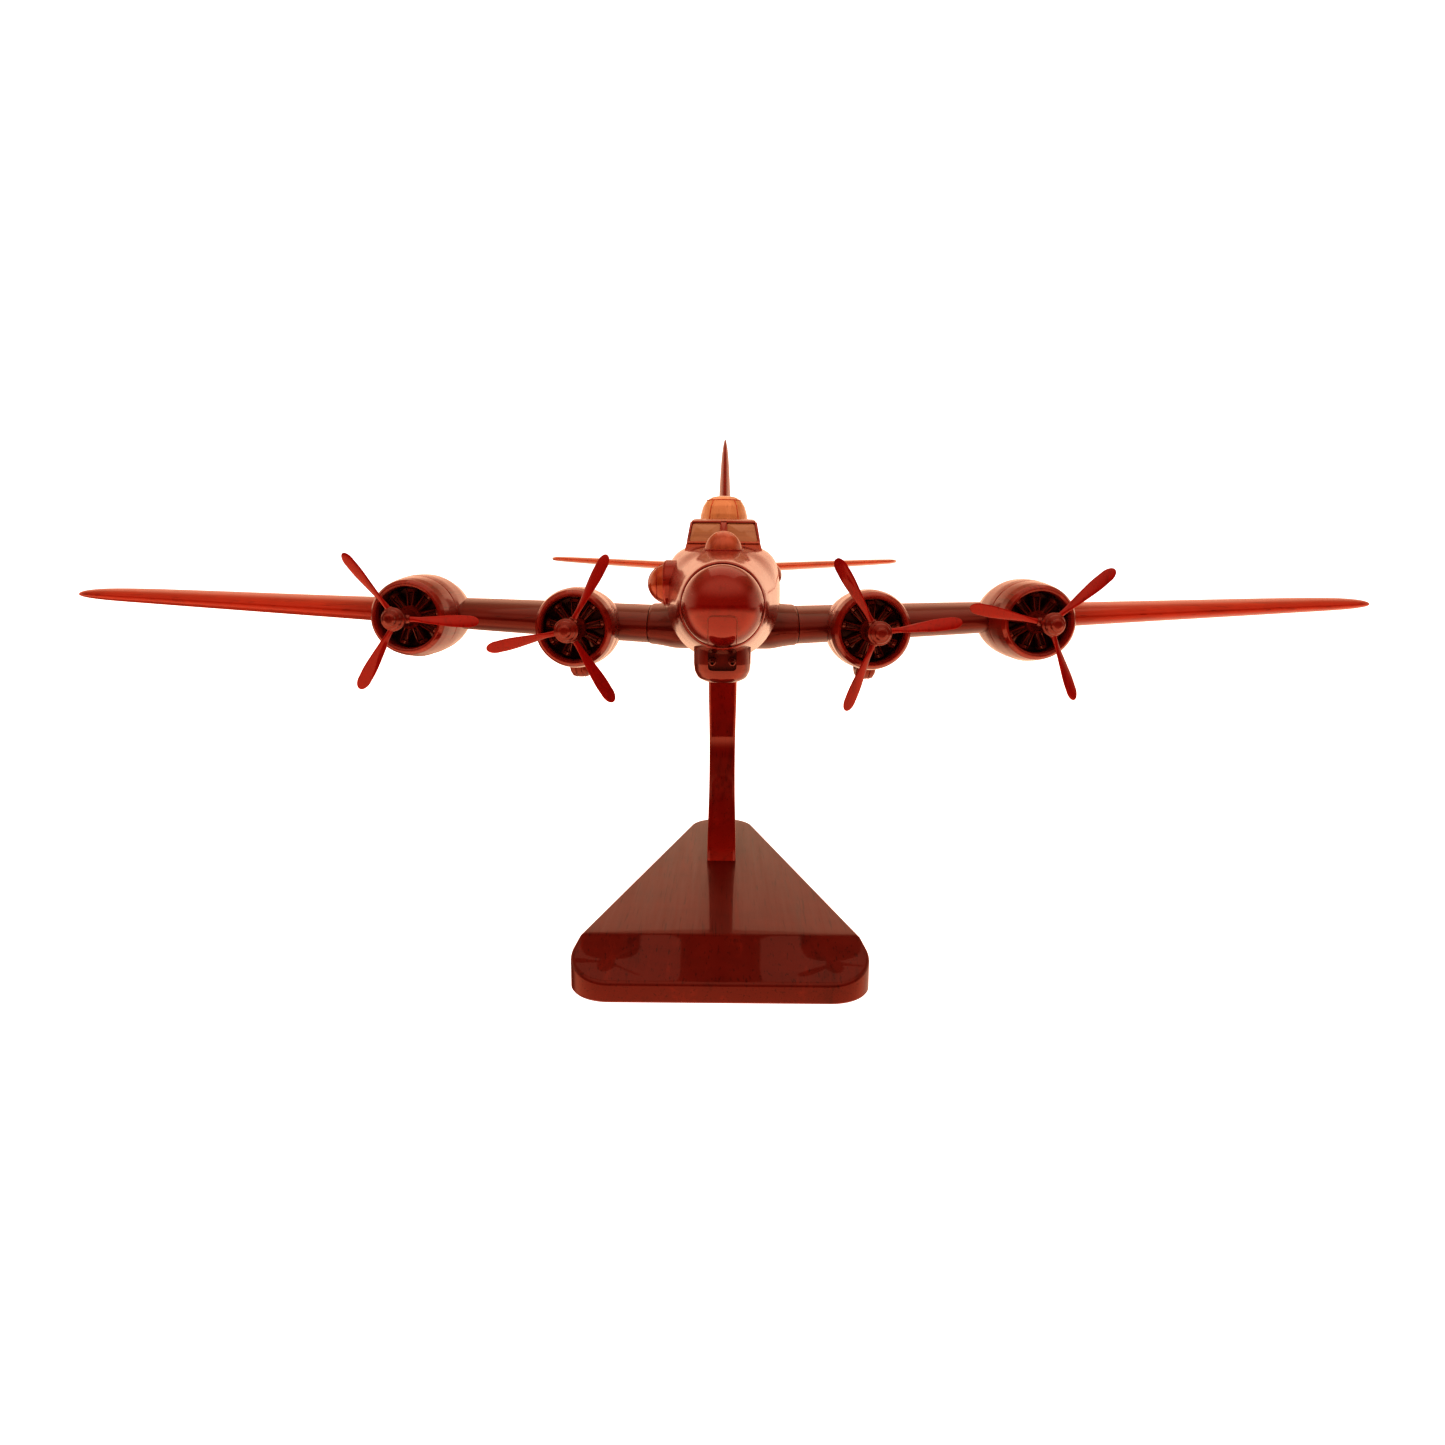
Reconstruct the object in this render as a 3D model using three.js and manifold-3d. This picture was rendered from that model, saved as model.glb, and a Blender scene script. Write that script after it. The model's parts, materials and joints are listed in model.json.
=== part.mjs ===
import * as THREE from 'three';
import { mergeVertices } from 'three/addons/utils/BufferGeometryUtils.js';
import Module from 'manifold-3d';

// ---------------------------------------------------------------- driving dimensions, mm
const GAP = 0.3;              // clearance between neighbouring pieces
const SPAN = 516;             // wing tip to wing tip
const LENGTH = 364;           // nose dome to tail end
const NOSE_Y = -182;          // nose points along -Y
const FUS_Z = 113;            // fuselage centre line above the table
const ENG_IN_X = 52.2, ENG_IN_Z = 103.2, ENG_IN_LIP = -92;
const ENG_OUT_X = 113.5, ENG_OUT_Z = 106.1, ENG_OUT_LIP = -81.4;
const COWL_R = 14.1, MOUTH_R = 10.8, COWL_LEN = 12;
const PROP_R = 28.5, PROP_AHEAD = 9.4, PROP_BORE = 1.2, SHAFT_R = 1.1;
const BLADE_DEG = [[-1.7, 128.8, 240.0], [61.8, 193.6, 301.8], [7.7, 120.9, 249.3], [41.5, 168.7, 291.4]]; // set by hand, not quite even
const WING_Z0 = 100.8, DIHEDRAL = 0.046, ROOT_X = 27.5;
const BASE_H = 12.7, BASE_EDGE_H = 6.3, BASE_CREASE_Y = -143.2, BASE_FRONT_Y = -163.55;
const ARM_W = 11.2, PEG_R = 2.5, PEG_Y = -42, PEG_TOP = 103, SADDLE_Z = 92.0;
const CHIN_Y = -154, TURRET_Y = -88;

const wasm = await Module();
wasm.setup();
const V = (x, y, z) => new THREE.Vector3(x, y, z);

// ---------------------------------------------------------------- mesh helpers
function loft(rings, capA = true, capB = true) {
  const pos = [];
  const n = rings[0].length;
  const tri = (a, b, c) => pos.push(a.x, a.y, a.z, b.x, b.y, b.z, c.x, c.y, c.z);
  for (let i = 0; i + 1 < rings.length; i++) {
    for (let j = 0; j < n; j++) {
      const k = (j + 1) % n;
      const a = rings[i][j], b = rings[i][k], c = rings[i + 1][k], d = rings[i + 1][j];
      tri(a, b, c); tri(a, c, d);
    }
  }
  const cap = (ring, flip) => {
    const c = ring.reduce((s, p) => s.add(p), V(0, 0, 0)).divideScalar(n);
    for (let j = 0; j < n; j++) {
      const k = (j + 1) % n;
      if (flip) tri(c, ring[k], ring[j]); else tri(c, ring[j], ring[k]);
    }
  };
  if (capA) cap(rings[0], true);
  if (capB) cap(rings[rings.length - 1], false);
  const g = new THREE.BufferGeometry();
  g.setAttribute('position', new THREE.Float32BufferAttribute(pos, 3));
  return g;
}

function clean(g) {
  let h = g.index ? g.toNonIndexed() : g.clone();
  h.deleteAttribute('normal'); h.deleteAttribute('uv');
  h = mergeVertices(h, 1e-4);
  const p = h.attributes.position, idx = h.index.array, out = [];
  let vol = 0;
  const a = V(), b = V(), c = V(), ab = V(), ac = V();
  for (let i = 0; i < idx.length; i += 3) {
    if (idx[i] === idx[i + 1] || idx[i + 1] === idx[i + 2] || idx[i] === idx[i + 2]) continue;
    a.fromBufferAttribute(p, idx[i]); b.fromBufferAttribute(p, idx[i + 1]); c.fromBufferAttribute(p, idx[i + 2]);
    vol += a.dot(ab.copy(b).cross(c)) / 6;
    out.push(idx[i], idx[i + 1], idx[i + 2]);
  }
  if (vol < 0) for (let i = 0; i < out.length; i += 3) { const t = out[i]; out[i] = out[i + 1]; out[i + 1] = t; }
  h.setIndex(out);
  return h;
}

function solid(g) {
  const h = clean(g);
  const mesh = new wasm.Mesh({
    numProp: 3,
    vertProperties: new Float32Array(h.attributes.position.array),
    triVerts: new Uint32Array(h.index.array)
  });
  return new wasm.Manifold(mesh);
}

function geometry(m) {
  const mesh = m.getMesh();
  const g = new THREE.BufferGeometry();
  const np = mesh.numProp, src = mesh.vertProperties, out = new Float32Array(src.length / np * 3);
  for (let i = 0; i < out.length / 3; i++) { out[3 * i] = src[np * i]; out[3 * i + 1] = src[np * i + 1]; out[3 * i + 2] = src[np * i + 2]; }
  g.setAttribute('position', new THREE.BufferAttribute(out, 3));
  g.setIndex(Array.from(mesh.triVerts));
  const flat = g.toNonIndexed();
  flat.computeVertexNormals();
  return flat;
}

// the biggest connected part of a cut solid
function largest(m) {
  const parts = m.decompose();
  let best = parts[0];
  for (const q of parts) if (Math.abs(q.volume()) > Math.abs(best.volume())) best = q;
  return best;
}

// a solid of revolution about an axis through (x,y,z); profile = [radius, along] pairs
function turned(profile, segs, centre, axis = 'Y', phase = 0) {
  const rings = [];
  const at = (r, s, t) => {
    const u = r * Math.cos(t), w = r * Math.sin(t);
    if (axis === 'Y') return V(centre.x + u, centre.y + s, centre.z + w);
    if (axis === 'Z') return V(centre.x + u, centre.y + w, centre.z + s);
    return V(centre.x + s, centre.y + u, centre.z + w);
  };
  for (const [r, s] of profile) {
    const ring = [];
    for (let j = 0; j < segs; j++) ring.push(at(r, s, phase + 2 * Math.PI * j / segs));
    rings.push(ring);
  }
  const closed = profile[0][0] > 1e-6;
  if (closed) { rings.push(rings[0]); return loft(rings, false, false); }
  return loft(rings, false, false);
}

function interp(table, y, col) {
  if (y <= table[0][0]) return table[0][col];
  for (let i = 1; i < table.length; i++) {
    if (y <= table[i][0]) {
      const t = (y - table[i - 1][0]) / (table[i][0] - table[i - 1][0]);
      return table[i - 1][col] * (1 - t) + table[i][col] * t;
    }
  }
  return table[table.length - 1][col];
}

// ---------------------------------------------------------------- fuselage: station, centre z, half width, half height
const FUS = [ // the last number is the squareness of the upper half, 2 = round
  [-170, 113.8, 11.2, 11.4, 2], [-164, 113.6, 12.4, 12.5, 2], [-156, 113.4, 13.6, 13.7, 2.1], [-146, 113.2, 15.1, 15.0, 2.3],
  [-134, 113.2, 16.6, 16.8, 3.0], [-120, 113.7, 17.8, 17.6, 3.6], [-104, 113.5, 18.8, 18.5, 3.6], [-84, 113.2, 19.6, 19.1, 3.3],
  [-60, 113.0, 19.9, 19.5, 2.8], [-34, 113.1, 19.6, 19.3, 2.4], [-8, 113.5, 18.6, 18.5, 2.1], [18, 114.3, 17.0, 17.0, 2],
  [46, 115.6, 14.8, 14.9, 2], [74, 117.2, 12.4, 12.6, 2], [102, 119.1, 10.0, 10.4, 2], [128, 120.9, 7.8, 8.4, 2],
  [150, 122.3, 6.0, 6.8, 2], [166, 123.2, 4.9, 5.6, 2], [176, 123.7, 4.0, 4.6, 2], [180.5, 123.9, 2.8, 3.2, 2], [182, 124.0, 1.2, 1.4, 2]
];
const FUS_SEGS = 24;
function fuselageShape(grow = 0, extend = 0) {
  const rings = FUS.map(([y, cz, rx, rz, n], i) => {
    const yy = i === 0 ? y - extend : (i === FUS.length - 1 ? y + extend : y);
    const ring = [];
    for (let j = 0; j < FUS_SEGS; j++) {
      const t = 2 * Math.PI * j / FUS_SEGS;
      const c = Math.cos(t), s = Math.sin(t), k = s > 0 ? (Math.abs(c) ** n + s ** n) ** (-1 / n) : 1;
      ring.push(V((rx + grow) * k * c, yy, cz + (rz + grow) * k * s));
    }
    return ring;
  });
  return loft(rings);
}
const fusBig = solid(fuselageShape(GAP * 1.08, GAP));
const pegHole = solid(turned([[0, SADDLE_Z - 4], [PEG_R + 0.1, SADDLE_Z - 4], [PEG_R + 0.1, PEG_TOP + GAP], [0, PEG_TOP + GAP]], 20, V(0, PEG_Y, 0), 'Z'));
const fuselage = solid(fuselageShape()).subtract(pegHole);

// ---------------------------------------------------------------- nose dome
const DOME = [[0, -182]];
for (let i = 1; i <= 6; i++) {
  const a = Math.PI / 2 * i / 6;
  DOME.push([10.8 * Math.sin(a), -170.6 - 11.4 * Math.cos(a) ]);
}
DOME.push([10.8, -170 - GAP], [0, -170 - GAP]);
const noseDome = solid(turned(DOME, 28, V(0, 0, 113.8), 'Y'));
const domeBig = solid(turned([[0, -182.6], [6, -182.4], [10, -178], [11.6, -174], [11.6, -169], [0, -169]], 28, V(0, 0, 113.8), 'Y'));

// ---------------------------------------------------------------- cockpit block: station, half width low, half width high, top z
const CAN = [
  [-125.2, 12.1, 11.5, 130.6], [-123.6, 12.1, 11.2, 132.4], [-117.0, 12.1, 10.4, 139.0], [-114.6, 12.1, 10.3, 139.5],
  [-104, 12.2, 10.4, 139.6], [-99, 11.8, 9.8, 138.6], [-97.2, 11.3, 9.0, 136.6], [-97.0, 11.3, 9.0, 136.0]
];
function canopyRing([y, w0, w1, top]) {
  const z0 = 122, dz = top - z0, c = Math.min(1.6, 0.35 * Math.max(top - 130, 0.6));
  return [
    V(-w0, y, z0), V(w0, y, z0), V(w0, y, 127.5), V(w1, y, top - c), V(w1 - 0.45 * c, y, top - 0.3 * c), V(w1 - 1.4 * c, y, top),
    V(-w1 + 1.4 * c, y, top), V(-w1 + 0.45 * c, y, top - 0.3 * c), V(-w1, y, top - c), V(-w0, y, 127.5)
  ];
}
let canopy = solid(loft(CAN.map(canopyRing))).subtract(fusBig);

// panes: thin boxes let into the sloping front and the sides
function slab(corners, thick, normal) {
  const a = corners.map(p => p.clone().addScaledVector(normal, thick / 2));
  const b = corners.map(p => p.clone().addScaledVector(normal, -thick / 2));
  return loft([b, a]);
}
const slopeDir = V(0, 6.6, 6.6).normalize();
const slopeN = V(0, -6.6, 6.6).normalize();
function frontPane(s, grow) {
  const at = (u, w) => V(s * u, -123.6, 132.4).addScaledVector(slopeDir, w).addScaledVector(slopeN, -0.45);
  const g = grow;
  const pts = [at(1.15 - g, -0.6 - g), at(10.5 + g, -0.6 - g), at(9.6 + g, 7.7 + g), at(1.15 - g, 7.7 + g)];
  return slab(pts, 0.9 + 2 * g, slopeN);
}
function sidePane(s, grow) {
  const g = grow;
  const dirUp = V(s * -1.75, 0, 10.4).normalize(), n = V(s * 10.4, 0, 1.75).normalize();
  const at = (y, w) => V(s * 12.1, y, 127.5).addScaledVector(dirUp, w).addScaledVector(n, -0.45);
  const pts = [at(-117.6 - g, 4.3 - g), at(-104.5 + g, 4.3 - g), at(-104.5 + g, 9.0 + g), at(-114.2 - g, 9.0 + g)];
  return slab(pts, 0.9 + 2 * g, n);
}
const panes = {};
for (const [side, s] of [['left', -1], ['right', 1]]) {
  panes['windshield_' + side] = largest(solid(frontPane(s, 0)).subtract(fusBig));
  panes['side_window_' + side] = solid(sidePane(s, 0));
  canopy = canopy.subtract(solid(frontPane(s, GAP))).subtract(solid(sidePane(s, GAP)));
}
canopy = largest(canopy);

// ---------------------------------------------------------------- astrodome
const ASTRO = V(0, -136.5, 128.2);
const astroProfile = (g) => {
  const p = [[0, -6]];
  p.push([5.6 + g, -6], [5.6 + g, 0.6]);
  for (let i = 1; i <= 4; i++) { const a = Math.PI / 2 * i / 5; p.push([(5.6 + g) * Math.cos(a), 0.6 + (5.9 + g) * Math.sin(a)]); }
  p.push([0, 6.5 + g]);
  return p;
};
const astrodome = solid(turned(astroProfile(0), 18, ASTRO, 'Z')).subtract(fusBig);

// ---------------------------------------------------------------- top turret
const ringShape = (g) => [[0, 124], [8.8 + g, 124], [8.8 + g, 134.6 + g], [8.2 + g, 135.2 + g], [0, 135.2 + g]];
const topRing = largest(solid(turned(ringShape(0), 24, V(0, TURRET_Y, 0), 'Z')).subtract(fusBig)
  .subtract(solid(loft(CAN.map(r => canopyRing([r[0] + (r[0] > -100 ? GAP : 0), r[1] + GAP, r[2] + GAP, r[3] + GAP]))))));
const topDome = solid(turned([[0, 135.5], [8.6, 135.5], [8.35, 139.0], [8.0, 142.3], [7.2, 145.2], [5.9, 147.2], [4.2, 148.3], [2.2, 148.7], [0, 148.8]], 24, V(0, TURRET_Y, 0), 'Z'));

// ---------------------------------------------------------------- chin turret with two barrels
let chin = solid(turned([[0, 92.2], [4.6, 92.3], [6.7, 93.3], [7.7, 95.3], [8.0, 97.4], [8.0, 108], [0, 108]], 24, V(0, CHIN_Y, 0), 'Z'));
const recess = solid(loft([[V(-3.9, -164, 95.9), V(3.9, -164, 95.9), V(3.9, -164, 110), V(-3.9, -164, 110)].reverse(),
  [V(-3.9, -159.6, 95.9), V(3.9, -159.6, 95.9), V(3.9, -159.6, 110), V(-3.9, -159.6, 110)].reverse()]));
chin = largest(chin.subtract(recess).subtract(fusBig).subtract(domeBig));
const barrels = {};
for (const [side, s] of [['left', -1], ['right', 1]]) {
  const c = V(s * 2.7, 0, 98.4);
  barrels['chin_barrel_' + side] = solid(turned([[0, -166.4], [0.75, -166.4], [0.75, -161.6], [1.1, -161.4], [1.1, -158.0], [0, -158.0]], 12, c, 'Y'));
  chin = chin.subtract(solid(turned([[0, -170], [1.1 + GAP, -170], [1.1 + GAP, -158.0 + GAP], [0, -158.0 + GAP]], 14, c, 'Y')));
}
chin = largest(chin);

// ---------------------------------------------------------------- cheek blisters
function ellipsoid(c, rx, ry, rz, su = 16, sv = 8) {
  const rings = [];
  for (let i = 0; i <= sv; i++) {
    const a = Math.PI * i / sv, ring = [];
    for (let j = 0; j < su; j++) {
      const t = 2 * Math.PI * j / su;
      ring.push(V(c.x + rx * Math.cos(a), c.y + ry * Math.sin(a) * Math.cos(t), c.z + rz * Math.sin(a) * Math.sin(t)));
    }
    rings.push(ring);
  }
  return loft(rings, false, false);
}
const CHEEK = V(-15.4, -131, 119.2);
const cheekL = largest(solid(ellipsoid(CHEEK, 7.2, 6.2, 6.2, 20, 10)).subtract(fusBig)
  .intersect(solid(loft([[V(-30, -145, 100), V(-30, -117, 100), V(-30, -117, 135), V(-30, -145, 135)], [V(-17.9, -145, 100), V(-17.9, -117, 100), V(-17.9, -117, 135), V(-17.9, -145, 135)]]))));
const frameL = largest(solid(turned([[0, -17.6], [7.0, -17.6], [7.1, -16.8], [7.0, -6], [0, -6]], 24, V(0, CHEEK.y, CHEEK.z), 'X')).subtract(fusBig));
const cheekR = largest(solid(ellipsoid(V(14.1, -114, 122.0), 4.6, 5.2, 4.2, 16, 8)).subtract(fusBig));

// ---------------------------------------------------------------- wings
const le = x => -83.5 + 0.1477 * x, te = x => 8 - 0.0614 * x;
const THICK = [[0, 14.8], [27, 14.2], [52, 13.5], [80, 12.6], [100, 11.8], [114, 10.8], [135, 9.2], [160, 8.2], [190, 7.2], [220, 6.2], [238, 5.4], [248, 4.6], [254, 3.4], [257, 2.0], [258, 1.0]];
const U = [0, 0.02, 0.08, 0.2, 0.38, 0.6, 0.82, 1];
const foil = u => (2.969 * Math.sqrt(u) - 1.26 * u - 3.516 * u * u + 2.843 * u ** 3 - 1.036 * u ** 4);
function wingSection(s, x, lead, trail, t, z, grow = 0) {
  const c = trail - lead, top = [], bot = [];
  for (const u of U) {
    const h = Math.max(t / 2 * foil(u), 0.22) + grow;
    const m = 0.10 * t * (1 - (2 * u - 0.8) ** 2);
    const y = lead - (u === 0 ? grow : 0) + c * u + (u === 1 ? grow : 0);
    top.push(V(s * x, y, z + m + h)); bot.push(V(s * x, y, z + m - h));
  }
  return [...top, ...bot.reverse()];
}
function wingShape(s, grow = 0, x0 = ROOT_X + GAP / 2) {
  const xs = [x0 - grow, 52.2, 80, 113.5, 135, 165, 200, 232, 243, 250, 254.5, 257, 258 + (grow ? grow : 0)];
  return loft(xs.map((x) => {
    let a = le(Math.min(x, 232)), b = te(Math.min(x, 232));
    if (x > 232) {
      const k = Math.sqrt(Math.max(0, 1 - ((x - 232) / 26.15) ** 2)), m = a + 0.2 * (b - a);
      a = m + (a - m) * Math.max(k, 0.1); b = m + (b - m) * Math.max(k, 0.1);
    }
    return wingSection(s, x, a, b, interp(THICK, x, 1), WING_Z0 + DIHEDRAL * x, grow);
  }));
}
// root fairing: the wing section swelling towards the fuselage
function fairingShape(s) {
  const st = [[6.5, 0.8], [12, 1.2], [17.5, 1.5], [19.5, 1.3], [22, 0.9], [24.6, 0.6], [ROOT_X - GAP / 2, 0.45]];
  return loft(st.map(([x, g]) => {
    const r = wingSection(s, x, le(x) - 1.6 * g, te(x) + 1.2 * g, interp(THICK, x, 1) + 2 * g, WING_Z0 + DIHEDRAL * x, 0);
    return r;
  }));
}
const wings = {}, fairings = {}, wingBig = {};
for (const [side, s] of [['left', -1], ['right', 1]]) {
  wings[side] = solid(wingShape(s));
  wingBig[side] = solid(wingShape(s, GAP));
  fairings[side] = largest(solid(fairingShape(s)).subtract(fusBig));
}

// ---------------------------------------------------------------- nacelles: distance behind the lip, half width, top, bottom
const NAC_IN = [[COWL_LEN + GAP, 14.3, 14.0, -14.3], [18, 14.5, 14.2, -14.6], [26, 14.2, 13.6, -14.6], [34, 13.2, 12.4, -14.0], [43, 11.6, 10.9, -12.8], [52, 9.6, 9.4, -11.0], [62, 7.2, 7.8, -9.0], [72, 4.9, 6.0, -7.0], [81, 2.9, 4.2, -5.0], [89, 1.2, 2.2, -3.0]];
const NAC_OUT = [[COWL_LEN + GAP, 14.9, 14.9, -14.5], [18, 15.3, 15.4, -14.7], [25, 15.3, 15.5, -14.3], [32, 14.4, 14.6, -13.4], [40, 12.6, 13.0, -11.8], [48, 10.0, 11.0, -9.8], [56, 7.2, 8.6, -7.4], [64, 4.4, 6.0, -5.0], [70, 2.4, 4.0, -3.4], [74, 1.2, 2.6, -2.2]];
function nacelleShape(x, z, lip, tab, segs = 20) {
  return loft(tab.map(([s, w, t, b]) => {
    const ring = [];
    for (let j = 0; j < segs; j++) {
      const a = 2 * Math.PI * j / segs, sn = Math.sin(a);
      ring.push(V(x + w * Math.cos(a), lip + s, z + (sn > 0 ? t * sn : -b * sn)));
    }
    return ring;
  }));
}
// ---------------------------------------------------------------- wheel half sunk into the inner nacelle
const WHEEL_X = 53.8, WHEEL_Z = 91.4, WHEEL_Y = -63, WHEEL_R = 8.0, WHEEL_W = 7.4;
function wheelShape(x, g) {
  const w = WHEEL_W / 2 + g, r = WHEEL_R + g;
  return turned([[0, -w + 1.2], [4.0, -w + 1.2], [4.4, -w], [r - 1.4, -w], [r, -w + 2], [r, w - 2], [r - 1.4, w], [4.4, w], [4.0, w - 1.2], [0, w - 1.2]], 20, V(x, WHEEL_Y, WHEEL_Z), 'X');
}
function wheelPocket(x) {
  const w = WHEEL_W / 2 + GAP, r = WHEEL_R + GAP;
  return turned([[0, -w], [r, -w], [r, w], [0, w]], 20, V(x, WHEEL_Y, WHEEL_Z), 'X');
}
const ENG = [
  [-ENG_OUT_X, ENG_OUT_Z, ENG_OUT_LIP, NAC_OUT, 'left', false], [-ENG_IN_X, ENG_IN_Z, ENG_IN_LIP, NAC_IN, 'left', true],
  [ENG_IN_X, ENG_IN_Z, ENG_IN_LIP, NAC_IN, 'right', true], [ENG_OUT_X, ENG_OUT_Z, ENG_OUT_LIP, NAC_OUT, 'right', false]
];
const nacelles = [], cowls = [], engines = [], props = [], caps = [];
const wheels = {};
for (let e = 0; e < 4; e++) {
  const [x, z, lip, tab, side, hasWheel] = ENG[e];
  let nac = solid(nacelleShape(x, z, lip, tab)).subtract(wingBig[side]);
  if (hasWheel) {
    nac = nac.subtract(solid(wheelPocket(Math.sign(x) * WHEEL_X)));
    wheels[side] = largest(solid(wheelShape(Math.sign(x) * WHEEL_X, 0)).subtract(wingBig[side]));
  }
  nacelles.push(largest(nac));
  // cowl ring: closed profile with a rounded lip and a back wall
  const c = V(x, lip, z), back = tab[0][1];
  cowls.push(solid(turned([[MOUTH_R, 2.2], [MOUTH_R + 1.0, 0], [12.6, 0.4], [13.4, 1.7], [COWL_R, 5.5], [back, COWL_LEN],
    [11.4, COWL_LEN], [11.4, 3.6]], 24, c, 'Y')));
  // engine: crankcase, nose case, shaft and nine finned cylinders as plain barrels, on a back plate
  let m = solid(turned([[0, -PROP_AHEAD - 2.1], [SHAFT_R, -PROP_AHEAD - 2.1], [SHAFT_R, -PROP_AHEAD + 3.0], [2.4, -PROP_AHEAD + 3.2], [3.4, 3.2], [4.4, 4.4], [4.4, 10.2],
    [11.0, 10.4], [11.0, 11.7], [0, 11.7]], 14, c, 'Y'));
  for (let k = 0; k < 9; k++) {
    const a = Math.PI / 2 + 2 * Math.PI * k / 9, d = V(Math.cos(a), 0, Math.sin(a)), w = V(-Math.sin(a), 0, Math.cos(a));
    const cyl = [3.6, 10.4].map(r => {
      const ring = [], rad = r > 9 ? 1.95 : 1.75;
      for (let j = 0; j < 6; j++) {
        const t = 2 * Math.PI * (j + 0.5) / 6;
        ring.push(V(x, lip + 7.8, z).addScaledVector(d, r).addScaledVector(w, rad * Math.cos(t)).add(V(0, rad * 1.35 * Math.sin(t), 0)));
      }
      return ring;
    });
    m = m.add(solid(loft(cyl)));
  }
  engines.push(largest(m));
  // propeller
  const py = lip - PROP_AHEAD, pc = V(x, py, z);
  let prop = solid(turned([[0, -2.7], [3.5, -2.7], [3.5, 1.6], [2.6, 2.5], [0, 2.5]], 14, pc, 'Y'));
  const BL = [[1.7, 1.05, 1.05, 52], [5.4, 1.05, 0.95, 52], [10, 1.5, 0.62, 44], [15, 1.95, 0.55, 35], [21, 2.3, 0.45, 27], [25.6, 2.1, 0.36, 23], [27.6, 1.4, 0.3, 21.5], [28.5, 0.5, 0.22, 21]];
  for (let k = 0; k < 3; k++) {
    const a = BLADE_DEG[e][k] * Math.PI / 180;
    const d = V(Math.cos(a), 0, Math.sin(a)), w = V(-Math.sin(a), 0, Math.cos(a));
    const rings = BL.map(([r, hc, ht, deg]) => {
      const ring = [], p = deg * Math.PI / 180, cd = w.clone().multiplyScalar(Math.cos(p)).add(V(0, Math.sin(p), 0)), nd = w.clone().multiplyScalar(-Math.sin(p)).add(V(0, Math.cos(p), 0));
      for (let j = 0; j < 6; j++) {
        const t = 2 * Math.PI * j / 6;
        ring.push(pc.clone().addScaledVector(d, r).addScaledVector(cd, hc * Math.cos(t)).addScaledVector(nd, ht * Math.sin(t)));
      }
      return ring;
    });
    const collar = [2.4, 4.7].map(r => {
      const ring = [];
      for (let j = 0; j < 6; j++) { const t = 2 * Math.PI * (j + 0.5) / 6; ring.push(pc.clone().addScaledVector(d, r).addScaledVector(w, 1.4 * Math.cos(t)).add(V(0, 1.4 * Math.sin(t), 0))); }
      return ring;
    });
    prop = prop.add(solid(loft(rings))).add(solid(loft(collar)));
  }
  prop = prop.subtract(solid(turned([[0, -5], [PROP_BORE, -5], [PROP_BORE, 5], [0, 5]], 14, pc, 'Y')));
  props.push(largest(prop));
  caps.push(solid(turned([[0, -8.3], [1.7, -8.2], [2.2, -6.7], [3.2, -6.3], [3.4, -4.8], [4.1, -4.4], [4.1, -3.0], [0, -3.0]], 14, pc, 'Y')));
}

// ---------------------------------------------------------------- tailplanes and fin
function tailShape(s) {
  const st = [[4, 112.5, 163.5, 5.4], [30, 116.8, 163.0, 4.9], [60, 122.4, 162.2, 4.2], [84, 127.2, 161.2, 3.5], [95, 130.4, 160.0, 2.9], [100.5, 135, 157, 2.1], [102.6, 141, 152, 1.2]];
  return loft(st.map(([x, a, b, t]) => {
    const top = [], bot = [];
    for (const u of U) { const h = Math.max(t / 2 * foil(u), 0.2); const y = a + (b - a) * u, z = 126.2 + 0.053 * x; top.push(V(s * x, y, z + h)); bot.push(V(s * x, y, z - h)); }
    return [...top, ...bot.reverse()];
  }));
}
const FIN = [ // z, leading y, trailing y, thickness
  [124, 30, 177, 7.0], [129.6, 40, 178.5, 7.0], [131.6, 55, 179.2, 7.0], [134, 72, 180.0, 7.0], [137.4, 86, 180.6, 7.0], [142, 96.5, 181.2, 7.0], [149, 106, 181.7, 7.0],
  [158, 113.5, 181.8, 6.9], [170, 121.5, 181.0, 6.7], [182, 129.6, 178.6, 6.2], [191, 136.6, 175.4, 5.8], [197.4, 143.4, 171.4, 5.2], [201.4, 150.2, 166.4, 4.4], [203, 155.5, 161.0, 3.2]];
const FU = [0, 0.02, 0.07, 0.16, 0.34, 0.58, 0.8, 1];
function finShape() {
  return loft(FIN.map(([z, a, b, t]) => {
    const L = [], Rr = [];
    for (const u of FU) {
      const y = a + (b - a) * u, p = Math.min(1, (y - a) / 26), q = Math.min(1, (b - y) / 48);
      const h = Math.max(0.5 * t * Math.sqrt(p * (2 - p)) * (0.12 + 0.88 * q * (2 - q)), 0.22 * Math.min(1, t));
      L.push(V(-h, y, z)); Rr.push(V(h, y, z));
    }
    return [...L, ...Rr.reverse()];
  }));
}
const tails = {};
for (const [side, s] of [['left', -1], ['right', 1]]) tails[side] = largest(solid(tailShape(s)).subtract(fusBig));
const fin = largest(solid(finShape()).subtract(fusBig));

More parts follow.
